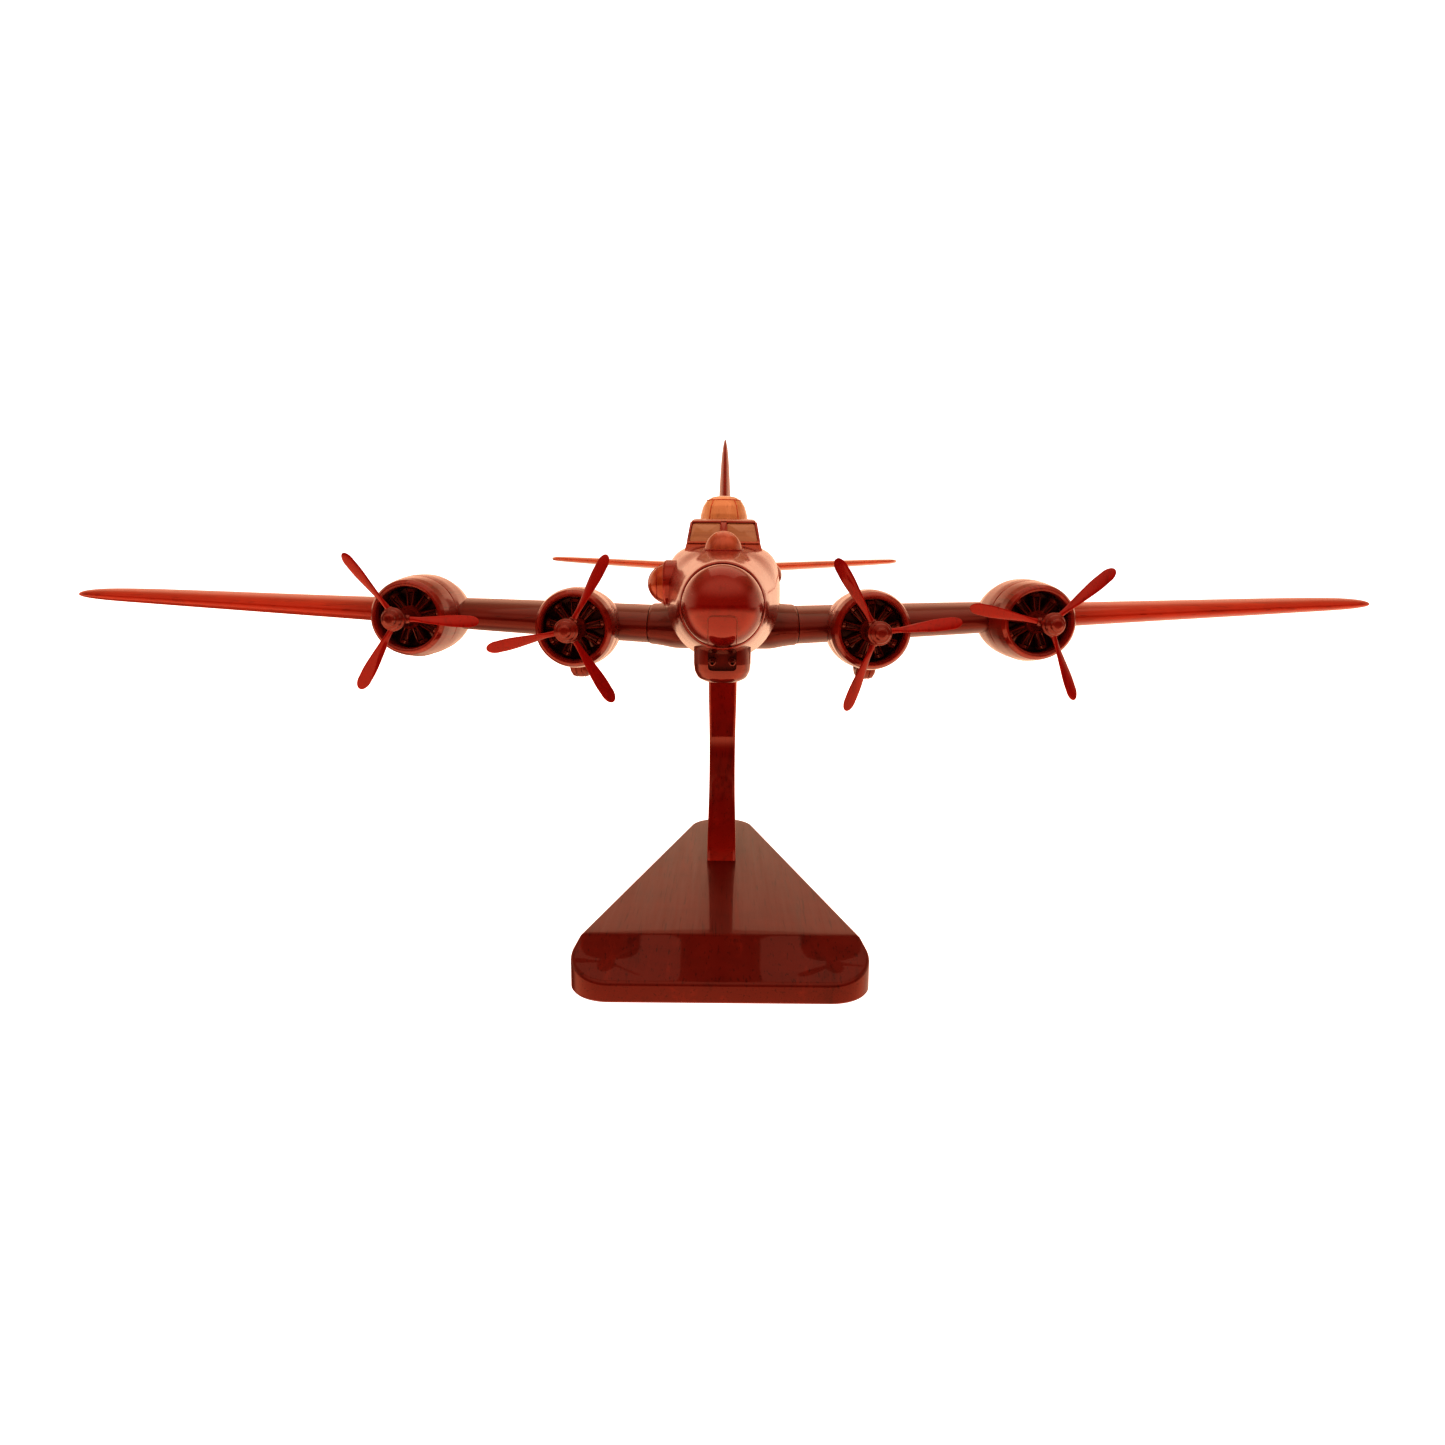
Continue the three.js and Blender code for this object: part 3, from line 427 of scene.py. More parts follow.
def fus_ring(y, segs, shrink=0.0):
    cz, rx, rz, n = fus_at(y)[0]
    t = np.arange(segs) * 2 * math.pi / segs
    c, q = np.cos(t), np.sin(t)
    k = np.where(q > 0, (np.abs(c) ** n + np.abs(q) ** n) ** (-1 / n), 1.0)
    return np.stack([(rx - shrink) * k * c, np.full(segs, y), cz + (rz - shrink) * k * q], 1)


def fus_top(x, y):
    """Height of the upper skin over the point (x, y)."""
    cz, rx, rz, n = fus_at(y)[0]
    return cz + rz * max(0.0, 1 - abs(x / rx) ** n) ** (1 / n)


def fuselage():
    ys = np.concatenate([[-170, -169.8, -169.4], np.linspace(-168.6, 174, 190), np.linspace(174.6, 182, 22)])
    rings = [fus_ring(y, 112, {0: 0.55, 1: 0.22, 2: 0.05}.get(i, 0.0)) for i, y in enumerate(ys)]
    ob = make("fuselage_shell", loft(rings), M_BODY, 30)
    tool = make("peg_tool", lathe([[0, 80], [PEG_R + 0.1, 80], [PEG_R + 0.1, PEG_TOP + GAP], [0, PEG_TOP + GAP]], 40, (0, PEG_Y, 0), "Z"), M_BODY)
    cut(ob, tool)
    put(ob, "fuselage")


fuselage()


# ------------------------------------------------------------------ nose dome with its panel outline
DOME_C = (0.0, 0.0, 113.8)


def dome_r(s):
    """radius of the dome at depth s behind the tip"""
    d = np.clip((11.4 - s) / 11.4, 0, 1)
    return 11.1 * np.sqrt(1 - d * d)


def nose_dome():
    a = np.linspace(0, math.pi / 2, 40)
    prof = [[10.8 * math.sin(q), -170.6 - 11.4 * math.cos(q)] for q in a]
    prof += [[10.8, -170.32], [10.6, -170.12], [10.2, -170.05], [0, -170.05]]
    ob = make("nose_dome_shell", lathe(prof, 96, DOME_C, "Y"), M_DOME, 40)
    put(ob, "nose_dome")
    # rounded-rectangle panel outline on the lower front
    def on_dome(x, z, lift=0.0):
        rr = math.hypot(x, z) / 10.8
        y = -170.6 - 11.4 * math.sqrt(max(0.0, 1 - rr * rr))
        p = np.array([x, y, 113.8 + z])
        n = np.array([x / 10.8 ** 2, (y + 170.6) / 11.4 ** 2, z / 10.8 ** 2])
        return p + n / np.linalg.norm(n) * lift
    w, top, bot = 3.7, -2.2, -10.6
    line = fillet([(-w, bot), (-w, top), (w, top), (w, bot)], 1.6, 8)
    dense = []
    for i in range(len(line) - 1):
        for k in range(6):
            dense.append(line[i] * (1 - k / 6) + line[i + 1] * k / 6)
    dense.append(line[-1])
    pts = [on_dome(x, z, 0.02) for x, z in dense if math.hypot(x, z) < 10.7]
    put(make("nose_panel_line", tube(pts, 0.17, 8), M_DARK), "nose_dome", False)
    # seam ring round the dome's root
    k = np.arange(120) * 2 * math.pi / 120
    ring = np.stack([10.95 * np.cos(k), np.full(120, -170.15), 113.8 + 11.05 * np.sin(k)], 1)
    put(make("nose_seam_ring", tube(ring, 0.12, 8, True), M_DOME), "nose_dome", False)


nose_dome()

# ------------------------------------------------------------------ cockpit block
CAN = [
    [-126.8, 12.1, 11.9, 129.0], [-123.6, 12.1, 11.2, 132.4], [-117.0, 12.1, 10.4, 139.0], [-114.6, 12.1, 10.3, 139.5],
    [-104, 12.2, 10.4, 139.6], [-99, 11.8, 9.8, 138.6], [-97.2, 11.3, 9.0, 136.6], [-97.0, 11.3, 9.0, 136.0]]
SLOPE_D = np.array([0, 1, 1]) / math.sqrt(2)
SLOPE_N = np.array([0, -1, 1]) / math.sqrt(2)


def canopy():
    ys = np.concatenate([np.linspace(-126.8, -117.2, 18), np.linspace(-117.0, -114.6, 10), np.linspace(-114, -104, 10), np.linspace(-103.4, -97.0, 22)])
    rings = []
    for y in ys:
        w0, w1, top = [float(np.interp(y, [r[0] for r in CAN], [r[i] for r in CAN])) for i in (1, 2, 3)]
        if -119 < y < -113:   # soft knee between windscreen and roof
            top -= 0.35 * (1 - ((y + 116) / 3) ** 2)
        c = min(1.9, 0.4 * max(top - 130, 0.6))
        half = fillet([(w0, 122.0), (w0, 127.5), (w1, top), (0, top + (0.12 if y > -113 else 0.0))], [0, 0, c, 0], 9)
        right = [(x, z) for x, z in half]
        ring = [(-x, z) for x, z in right][::-1][1:] + []
        pts = right + ring
        rings.append(np.array([[x, y, z] for x, z in pts]))
    ob = make("canopy_block", loft(rings), M_CANOPY, 32)
    put(ob, "canopy")


canopy()


def plate(corners, normal, thick, r, name, mat, node, lift=0.0, replace=True, bevel=0.12):
    """Thin plate with rounded corners, lying on a plane; corners are 3-D points in order."""
    c = np.array(corners, float)
    o = c.mean(0)
    n = np.asarray(normal, float)
    n /= np.linalg.norm(n)
    u = c[1] - c[0]
    u /= np.linalg.norm(u)
    w = np.cross(n, u)
    flat = [((p - o) @ u, (p - o) @ w) for p in c]
    f = fillet(flat, r, 7, True)
    rings = []
    cen = f.mean(0)
    for inset, h in ((0.0, -thick), (0.0, -bevel), (bevel * 0.35, -bevel * 0.3), (bevel, 0.0)):
        g = cen + (f - cen) * (1 - inset / np.linalg.norm(f - cen, axis=1, keepdims=True))
        rings.append(o + g[:, :1] * u + g[:, 1:] * w + n * (h + lift))
    return put(make(name, loft(rings), mat, 40), node, replace)


def panes():
    o = np.array([0, -123.6, 132.4])
    for side, s in (("left", -1), ("right", 1)):
        at = lambda u, w: np.array([s * u, -123.6, 132.4]) + SLOPE_D * w
        pts = [at(1.15, -0.6), at(10.5, -0.6), at(9.6, 7.7), at(1.15, 7.7)]
        if s < 0:
            pts = pts[::-1]
        plate(pts, SLOPE_N, 0.9, [0.5, 0.9, 1.5, 0.5] if s > 0 else [0.5, 1.5, 0.9, 0.5], "windscreen_pane_" + side, M_PANE, "windshield_" + side, lift=0.1)
        up = np.array([s * -1.75, 0, 10.4])
        up /= np.linalg.norm(up)
        n = np.array([s * 10.4, 0, 1.75])
        n /= np.linalg.norm(n)
        at2 = lambda y, w: np.array([s * 12.1, y, 127.5]) + up * w
        pts = [at2(-117.6, 4.3), at2(-104.5, 4.3), at2(-104.5, 9.0), at2(-114.2, 9.0)]
        if s > 0:
            pts = pts[::-1]
        plate(pts, n, 0.9, 0.9, "side_pane_" + side, M_PANE, "side_window_" + side, lift=0.14)


panes()


def window_frames():
    """Raised strips round the windscreen panes, with the centre post."""
    at = lambda u, w: np.array([u, -123.6, 132.4]) + SLOPE_D * w
    bars = [(-0.95, 0.95, -1.0, 8.6), (-11.2, 11.2, -1.5, -0.7), (-9.9, 9.9, 7.85, 8.6)]
    for k, (a, b, c, d) in enumerate(bars):
        plate([at(a, c), at(b, c), at(b, d), at(a, d)], SLOPE_N, 1.2, 0.25, f"windscreen_bar_{k + 1}", M_CANOPY if k == 1 else M_FRAME, "canopy", lift=0.32, replace=False)
    for side, s in (("left", -1), ("right", 1)):
        pts = [at(s * 10.65, -0.9), at(s * 11.3, -0.9), at(s * 10.4, 8.1), at(s * 9.75, 8.1)]
        plate(pts if s > 0 else pts[::-1], SLOPE_N, 1.2, 0.3, "windscreen_bar_" + side, M_FRAME, "canopy", lift=0.3, replace=False)


window_frames()


# ------------------------------------------------------------------ domes and turrets
def dome_profile(r, z0, z1, rise, n=18):
    a = np.linspace(0, math.pi / 2, n)
    return [[0, z0], [r, z0], [r, z1]] + [[r * math.cos(q), z1 + rise * math.sin(q)] for q in a[1:]]


def astrodome():
    put(make("astrodome_shell", lathe(dome_profile(5.6, 122.2, 128.8, 5.9), 72, (0, -136.5, 0), "Z"), M_ASTRO, 40), "astrodome")
    k = np.arange(90) * 2 * math.pi / 90
    pts = []
    for q in k:
        x, y = 5.75 * math.cos(q), -136.5 + 5.75 * math.sin(q)
        pts.append([x, y, fus_top(x, y) + 0.05])
    put(make("astrodome_rim", tube(pts, 0.3, 8, True), M_BODY), "astrodome", False)


astrodome()


def top_turret():
    c = (0, TURRET_Y, 0)
    prof = fillet([[0, 124], [8.8, 124], [8.8, 135.2], [0, 135.2]], [0, 0.1, 0.5, 0], 5)
    put(make("top_turret_collar", lathe(prof, 80, c, "Z"), M_BODY, 40), "top_turret_ring")
    prof = fillet([[0, 135.45], [8.6, 135.45], [8.35, 139.0], [8.0, 142.3], [7.2, 145.2], [5.9, 147.2], [4.2, 148.3], [2.2, 148.7], [0, 148.78]], [0, 0.3, 3, 3, 3, 3, 3, 3, 0], 8)
    put(make("top_turret_glass", lathe(prof, 80, c, "Z"), M_AMBER, 40), "top_turret_dome")
    # frame ribs over the dome
    ribs = []
    up = [(8.6, 135.6), (8.35, 139.0), (8.02, 142.3), (7.2, 145.2), (5.9, 147.2)]
    path = fillet(up, [0, 3, 3, 3, 0], 6)
    for deg in (-90 - 36, -90 + 36, 36, 90, 144):
        a = math.radians(deg)
        ribs.append(tube([[r * math.cos(a), TURRET_Y + r * math.sin(a), z] for r, z in path], 0.17, 7))
    for z, r in ((135.75, 8.55), (147.2, 5.85)):
        k = np.arange(80) * 2 * math.pi / 80
        ribs.append(tube(np.stack([r * np.cos(k), TURRET_Y + r * np.sin(k), np.full(80, z)], 1), 0.17, 7, True))
    put(make("top_turret_ribs", join(*ribs), M_RIB), "top_turret_dome", False)


top_turret()


def chin_turret():
    prof = fillet([[0, 92.2], [4.6, 92.25], [6.8, 93.3], [7.75, 95.3], [8.0, 97.4], [8.0, 104.5], [0, 104.5]], [0, 2.5, 2.5, 2.5, 2, 0.3, 0], 7)
    ob = make("chin_turret_drum", lathe(prof, 84, (0, CHIN_Y, 0), "Z"), M_HUB, 35)
    f = fillet([(-3.9, 95.9), (3.9, 95.9), (3.9, 110), (-3.9, 110)], [1.2, 1.2, 0, 0], 6, True)
    tool = make("recess_tool", loft([[[x, -166, z] for x, z in f], [[x, -159.6, z] for x, z in f]]), M_HUB)
    cut(ob, tool)
    put(ob, "chin_turret")
    for side, s in (("left", -1), ("right", 1)):
        prof = fillet([[0, -159], [1.1, -159], [1.1, -161.5], [0.75, -161.7], [0.75, -166.2], [0.42, -166.4], [0.42, -164.5], [0, -164.5]], [0, 0.1, 0.15, 0.1, 0.08, 0.05, 0.02, 0], 3)
        put(make("chin_barrel_tube_" + side, lathe(prof, 32, (s * 2.7, 0, 98.4), "Y"), M_DARK, 40), "chin_barrel_" + side)


chin_turret()


def ellipsoid(c, rx, ry, rz, su=56, sv=36, only=None):
    rings = []
    for i in range(sv + 1):
        a = math.pi * i / sv
        t = np.arange(su) * 2 * math.pi / su
        rings.append(np.stack([np.full(su, c[0] + rx * math.cos(a)), c[1] + ry * math.sin(a) * np.cos(t), c[2] + rz * math.sin(a) * np.sin(t)], 1))
    return loft(rings, False, False)


def cheeks():
    c = (-15.4, -131.0, 119.2)
    put(make("cheek_dome_left", ellipsoid(c, 7.2, 6.2, 6.2), M_BLISTER), "cheek_blister_left")
    prof = fillet([[5.4, -17.6], [5.9, -17.9], [6.6, -17.9], [7.05, -17.2], [7.0, -6], [5.4, -6]], [0.2, 0.3, 0.3, 0.4, 0.1, 0.1], 5, True)
    put(make("cheek_ring_left", lathe(prof, 72, (0, c[1], c[2]), "X", True), M_BODY), "cheek_frame_left")
    ribs = []
    for deg in (90,):
        a = np.linspace(math.radians(-82), math.radians(82), 40)
        ribs.append(tube([[c[0] - 7.2 * math.cos(q) , c[1] , c[2] + 6.2 * math.sin(q)] for q in a], 0.2, 7))
    k = np.arange(80) * 2 * math.pi / 80
    h = 0.62
    rr = 6.2 * math.sqrt(1 - h * h)
    ribs.append(tube(np.stack([np.full(80, c[0] - 7.2 * h), c[1] + rr * np.cos(k), c[2] + rr * np.sin(k)], 1), 0.2, 7, True))
    put(make("cheek_ribs_left", join(*ribs), M_BODY), "cheek_blister_left", False)
    put(make("cheek_dome_right", ellipsoid((14.1, -114, 122.0), 4.6, 5.2, 4.2), M_BLISTER), "cheek_blister_right")


cheeks()


# ------------------------------------------------------------------ wings
def le(x):
    return -83.5 + 0.1477 * x


def te(x):
    return 8 - 0.0614 * x


THICK = [[0, 14.8], [27, 14.2], [52, 13.5], [80, 12.6], [100, 11.8], [114, 10.8], [135, 9.2], [160, 8.2], [190, 7.2], [220, 6.2], [238, 5.4], [248, 4.6], [254, 3.4], [257, 2.0], [258, 1.0]]
U = (1 - np.cos(np.linspace(0, math.pi, 34))) / 2


def foil(u):
    return 2.969 * np.sqrt(u) - 1.26 * u - 3.516 * u ** 2 + 2.843 * u ** 3 - 1.036 * u ** 4


def section(s, x, a, b, t, z, edge=0.2, camber=0.10):
    h = t / 2 * foil(U)
    h = h + edge * np.clip((U - 0.9) / 0.1, 0, 1)
    m = camber * t * (1 - (2 * U - 0.8) ** 2)
    y = a + (b - a) * U
    top = np.stack([np.full(len(U), s * x), y, z + m + h], 1)
    bot = np.stack([np.full(len(U), s * x), y, z + m - h], 1)
    return np.concatenate([top, bot[1:][::-1]])


def wing(side, s):
    xs = list(np.linspace(ROOT_X + 0.15, 231, 60))
    rings = []
    for x in xs:
        rings.append(section(s, x, le(x), te(x), float(table(THICK, [x])[0, 0]), WING_Z0 + DIHEDRAL * x))
    a0, b0 = le(232), te(232)
    for q in np.linspace(0, math.pi / 2, 28)[:-1]:
        x, k = 232 + 26 * math.sin(q), math.cos(q)
        m = a0 + 0.2 * (b0 - a0)
        rings.append(section(s, x, m + (a0 - m) * k, m + (b0 - m) * k, float(table(THICK, [min(x, 257.6)])[0, 0]), WING_Z0 + DIHEDRAL * x, 0.2 * k))
    put(make("wing_panel_" + side, loft(rings), M_WING, 40), "wing_" + side)
    # scribed lines along the control surfaces: flap, aileron and their ends
    lines = []
    def on_top(x, u, up=1):
        t = float(table(THICK, [x])[0, 0])
        h = t / 2 * float(foil(np.array(u)))
        m = 0.10 * t * (1 - (2 * u - 0.8) ** 2)
        return [s * x, le(x) + (te(x) - le(x)) * u, WING_Z0 + DIHEDRAL * x + m + up * h]
    for up in (1, -1):
        lines.append(tube([on_top(x, 0.80, up) for x in np.linspace(31, 130, 50)], 0.09, 5))
        lines.append(tube([on_top(x, 0.77, up) for x in np.linspace(133, 226, 50)], 0.09, 5))
        for x, u0 in ((31, 0.8), (130, 0.8), (133, 0.77), (226, 0.77)):
            lines.append(tube([on_top(x, u, up) for u in np.linspace(u0, 0.99, 14)], 0.09, 5))
    put(make("wing_lines_" + side, join(*lines), M_LINE), "wing_" + side, False)
    # root fairing swelling into the fuselage
    st = np.array([[6.5, 0.8], [12, 1.2], [17.5, 1.5], [19.5, 1.3], [22, 0.9], [24.6, 0.6], [ROOT_X - 0.15, 0.45]])
    rings = []
    for x in np.linspace(6.5, ROOT_X - 0.15, 40):
        g = float(pchip(st[:, 0], st[:, 1], [x])[0])
        edge = 0.25 if x > ROOT_X - 0.3 else 0.0
        rings.append(section(s, x, le(x) - 1.6 * g + edge, te(x) + 1.2 * g - edge, float(table(THICK, [x])[0, 0]) + 2 * g - 2 * edge, WING_Z0 + DIHEDRAL * x, 0.3))
    put(make("wing_fairing_" + side, loft(rings), M_WING, 40), "wing_root_" + side)


for side_, s_ in (("left", -1), ("right", 1)):
    wing(side_, s_)

# ------------------------------------------------------------------ nacelles, cowls, engines, propellers
NAC_IN = [[COWL_LEN + GAP, 14.3, 14.0, 14.3], [18, 14.5, 14.2, 14.6], [26, 14.2, 13.6, 14.6], [34, 13.2, 12.4, 14.0], [43, 11.6, 10.9, 12.8], [52, 9.6, 9.4, 11.0], [62, 7.2, 7.8, 9.0], [72, 4.9, 6.0, 7.0], [81, 2.9, 4.2, 5.0], [89, 1.2, 2.2, 3.0]]
NAC_OUT = [[COWL_LEN + GAP, 14.9, 14.9, 14.5], [18, 15.3, 15.4, 14.7], [25, 15.3, 15.5, 14.3], [32, 14.4, 14.6, 13.4], [40, 12.6, 13.0, 11.8], [48, 10.0, 11.0, 9.8], [56, 7.2, 8.6, 7.4], [64, 4.4, 6.0, 5.0], [70, 2.4, 4.0, 3.4], [74, 1.2, 2.6, 2.2]]
ENG = [(-ENG_OUT_X, ENG_OUT_Z, ENG_OUT_LIP, NAC_OUT, None), (-ENG_IN_X, ENG_IN_Z, ENG_IN_LIP, NAC_IN, "left"),
       (ENG_IN_X, ENG_IN_Z, ENG_IN_LIP, NAC_IN, "right"), (ENG_OUT_X, ENG_OUT_Z, ENG_OUT_LIP, NAC_OUT, None)]
WHEEL_Z, WHEEL_Y, WHEEL_R, WHEEL_W = 91.4, -63.0, 8.0, 7.4


def nacelle(i, x, z, lip, tab):
    ss = np.concatenate([[COWL_LEN + GAP, COWL_LEN + GAP + 0.12, COWL_LEN + GAP + 0.4], np.linspace(COWL_LEN + 1, tab[-1][0], 60)])
    par = table(tab, ss)
    t = np.arange(80) * 2 * math.pi / 80
    rings = []
    for j, (s, (w, up, dn)) in enumerate(zip(ss, par)):
        k = {0: 0.4, 1: 0.12}.get(j, 0)
        sn = np.sin(t)
        rings.append(np.stack([x + (w - k) * np.cos(t), np.full(80, lip + s), z + np.where(sn > 0, (up - k) * sn, (dn - k) * sn)], 1))
    tip = rings[-1].mean(0)
    for q, f in ((1.0, 0.75), (1.6, 0.4)):
        r = tip + (rings[-1 if q == 1.0 else -2] - tip) * f
        r[:, 1] = lip + tab[-1][0] + q * 0.5
        rings.append(r)
    put(make(f"nacelle_body_{i}", loft(rings), M_BODY, 32), f"nacelle_{i}")


def cowl(i, x, z, lip, back):
    prof = fillet([[MOUTH_R, 2.4], [MOUTH_R + 0.35, 0.5], [MOUTH_R + 1.2, 0.0], [12.5, 0.3], [13.4, 1.7], [COWL_R, 5.5], [back, COWL_LEN],
                   [11.4, COWL_LEN], [11.4, 3.6]], [0.8, 0.7, 0.8, 1.1, 1.6, 3, 0.2, 0.2, 0.5], 6, True)
    put(make(f"cowl_ring_{i}", lathe(prof, 112, (x, lip, z), "Y", True), M_BODY, 40), f"cowl_{i}")


def engine(i, x, z, lip):
    c = (x, lip, z)
    prof = fillet([[0, -PROP_AHEAD - 2.1], [SHAFT_R, -PROP_AHEAD - 2.1], [SHAFT_R, -PROP_AHEAD + 3.0], [2.3, -PROP_AHEAD + 3.2], [2.7, -PROP_AHEAD + 4.6], [3.2, 1.4], [4.2, 2.6], [4.4, 4.4], [4.4, 10.2],
                   [11.0, 10.4], [11.0, 11.7], [0, 11.7]], 0.3, 3)
    parts = [lathe(prof, 48, c, "Y")]
    # bolt ring on the nose case
    for k in range(9):
        a = math.pi / 2 + 2 * math.pi * (k + 0.5) / 9
        parts.append(lathe([[0, 2.1], [0.35, 2.1], [0.42, 2.3], [0.42, 3.4], [0, 3.4]], 8, (x + 3.75 * math.cos(a), lip, z + 3.75 * math.sin(a)), "Y"))
    fins = [[0, 3.4], [1.35, 3.4]]
    r = 4.4
    while r < 8.6:
        fins += [[1.35, r], [1.95, r + 0.08], [1.95, r + 0.22], [1.35, r + 0.3]]
        r += 0.5
    fins += [[1.5, 8.9], [2.0, 9.1], [2.0, 10.2], [1.4, 10.55], [0, 10.6]]
    seg = 18
    for k in range(9):
        a = math.pi / 2 + 2 * math.pi * k / 9
        d, w, f = np.array([math.cos(a), 0, math.sin(a)]), np.array([-math.sin(a), 0, math.cos(a)]), np.array([0, 1.0, 0])
        o = np.array([x, lip + 7.8, z])
        t = np.arange(seg) * 2 * math.pi / seg
        rings = [o + d * s + q * (np.cos(t)[:, None] * w * 1.0 + np.sin(t)[:, None] * f * 1.25) for q, s in fins]
        parts.append(loft(rings, False, False))
        for e in (-1, 1):   # push rods
            p0 = np.array([x, lip + 4.2, z]) + d * 4.0 + w * e * 0.7
            p1 = np.array([x, lip + 5.6, z]) + d * 9.6 + w * e * 1.25
            parts.append(tube([p0, (p0 + p1) / 2, p1], 0.24, 6))
    put(make(f"radial_engine_{i}", join(*parts), M_DARK, 35), f"engine_{i}")


BL = [[1.7, 1.05, 1.05, 52], [5.4, 1.05, 0.95, 52], [10, 1.5, 0.62, 44], [15, 1.95, 0.55, 35], [21, 2.3, 0.45, 27], [25.6, 2.1, 0.36, 23], [27.6, 1.4, 0.3, 21.5], [28.5, 0.5, 0.22, 21]]


def propeller(i, x, z, lip, deg):
    pc = np.array([x, lip - PROP_AHEAD, z])
    hub = fillet([[PROP_BORE, -2.7], [3.0, -2.7], [3.5, -2.3], [3.5, 1.6], [2.6, 2.5], [PROP_BORE, 2.5]], [0.05, 0.2, 0.3, 0.4, 0.3, 0.05], 4, True)
    hubs = [lathe(hub, 56, pc, "Y", True)]
    parts = []
    rs = np.concatenate([np.linspace(1.9, 24.5, 40), 24.5 + 4.0 * np.sin(np.linspace(0.06, 1, 16) * math.pi / 2)])
    seg = 28
    t = np.arange(seg) * 2 * math.pi / seg
    for k in range(3):
        a = math.radians(deg[k])
        d, w, f = np.array([math.cos(a), 0, math.sin(a)]), np.array([-math.sin(a), 0, math.cos(a)]), np.array([0, 1.0, 0])
        rings = []
        for r in rs:
            hc, ht, p = table(BL, [r])[0]
            if r > 24.5:
                hc = 2.2 * math.sqrt(max(0.0, 1 - ((r - 24.5) / 4.03) ** 2)) + 0.03
                ht = ht * min(1.0, 0.35 + 0.65 * math.sqrt(max(0.0, 1 - ((r - 24.5) / 4.03) ** 2)))
            p = math.radians(p)
            cd, nd = w * math.cos(p) + f * math.sin(p), -w * math.sin(p) + f * math.cos(p)
            rings.append(pc + d * r + hc * np.cos(t)[:, None] * cd + ht * np.sign(np.sin(t))[:, None] * (np.abs(np.sin(t))[:, None] ** 1.15) * nd)
        parts.append(loft(rings))
        col = fillet([[0, 2.2], [1.45, 2.2], [1.45, 4.5], [0, 4.7]], [0, 0.1, 0.35, 0], 5)
        rings = [pc + d * s + q * (np.cos(t)[:, None] * w + np.sin(t)[:, None] * f) for q, s in col]
        hubs.append(loft(rings, False, False))
        tk = pc + d * 3.6
        hubs.append(tube([tk + (np.cos(q) * w + np.sin(q) * f) * 1.5 for q in np.arange(24) * 2 * math.pi / 24], 0.16, 6, True))
    put(make(f"propeller_blades_{i}", join(*parts), M_PROP, 40), f"propeller_{i}")
    put(make(f"propeller_hub_{i}", join(*hubs), M_HUB, 40), f"propeller_{i}", False)
    prof = fillet([[0, -8.3], [1.3, -8.25], [2.0, -7.9], [2.2, -6.7], [3.1, -6.35], [3.35, -5.9], [3.4, -4.8], [4.0, -4.5], [4.1, -4.2], [4.1, -3.0], [0, -3.0]],
                  [0, 0.5, 0.4, 0.15, 0.3, 0.3, 0.15, 0.25, 0.2, 0.2, 0], 4)
    put(make(f"hub_dome_{i}", lathe(prof, 56, pc, "Y"), M_HUB, 35), f"hub_cap_{i}")


def wheel(side, x):
    w, r = WHEEL_W / 2, WHEEL_R
    half = [[0, -w + 1.5], [1.2, -w + 1.2], [1.6, -w + 0.9], [3.6, -w + 1.2], [4.2, -w + 0.2], [5.0, -w], [r - 1.6, -w + 0.1], [r - 0.4, -w + 0.9], [r, -w + 2.2]]
    tread = [[r, -1.3], [r - 0.22, -1.15], [r - 0.22, -0.95], [r, -0.8], [r, 0.8], [r - 0.22, 0.95], [r - 0.22, 1.15], [r, 1.3]]
    prof = half + tread + [[a, -b] for a, b in half[::-1]]
    put(make("wheel_tyre_" + side, lathe(fillet(prof, 0.25, 3), 72, (x, WHEEL_Y, WHEEL_Z), "X"), M_WHEEL, 40), "wheel_" + side)


for i_, (x_, z_, lip_, tab_, wh_) in enumerate(ENG):
    nacelle(i_ + 1, x_, z_, lip_, tab_)
    cowl(i_ + 1, x_, z_, lip_, tab_[0][1])
    engine(i_ + 1, x_, z_, lip_)
    propeller(i_ + 1, x_, z_, lip_, BLADE_DEG[i_])
    if wh_:
        wheel(wh_, math.copysign(53.8, x_))

# ------------------------------------------------------------------ tail
TAIL = [[4, 112.5, 163.5, 5.4], [30, 116.8, 163.0, 4.9], [60, 122.4, 162.2, 4.2], [84, 127.2, 161.2, 3.5], [95, 130.4, 160.0, 2.9], [100.5, 135, 157, 2.1], [102.6, 141, 152, 1.2]]
FIN = [
    [124, 30, 177, 7.0], [129.6, 40, 178.5, 7.0], [131.6, 55, 179.2, 7.0], [134, 72, 180.0, 7.0], [137.4, 86, 180.6, 7.0], [142, 96.5, 181.2, 7.0], [149, 106, 181.7, 7.0],
    [158, 113.5, 181.8, 6.9], [170, 121.5, 181.0, 6.7], [182, 129.6, 178.6, 6.2], [191, 136.6, 175.4, 5.8], [197.4, 143.4, 171.4, 5.2], [201.4, 150.2, 166.4, 4.4], [203, 155.5, 161.0, 3.2]]


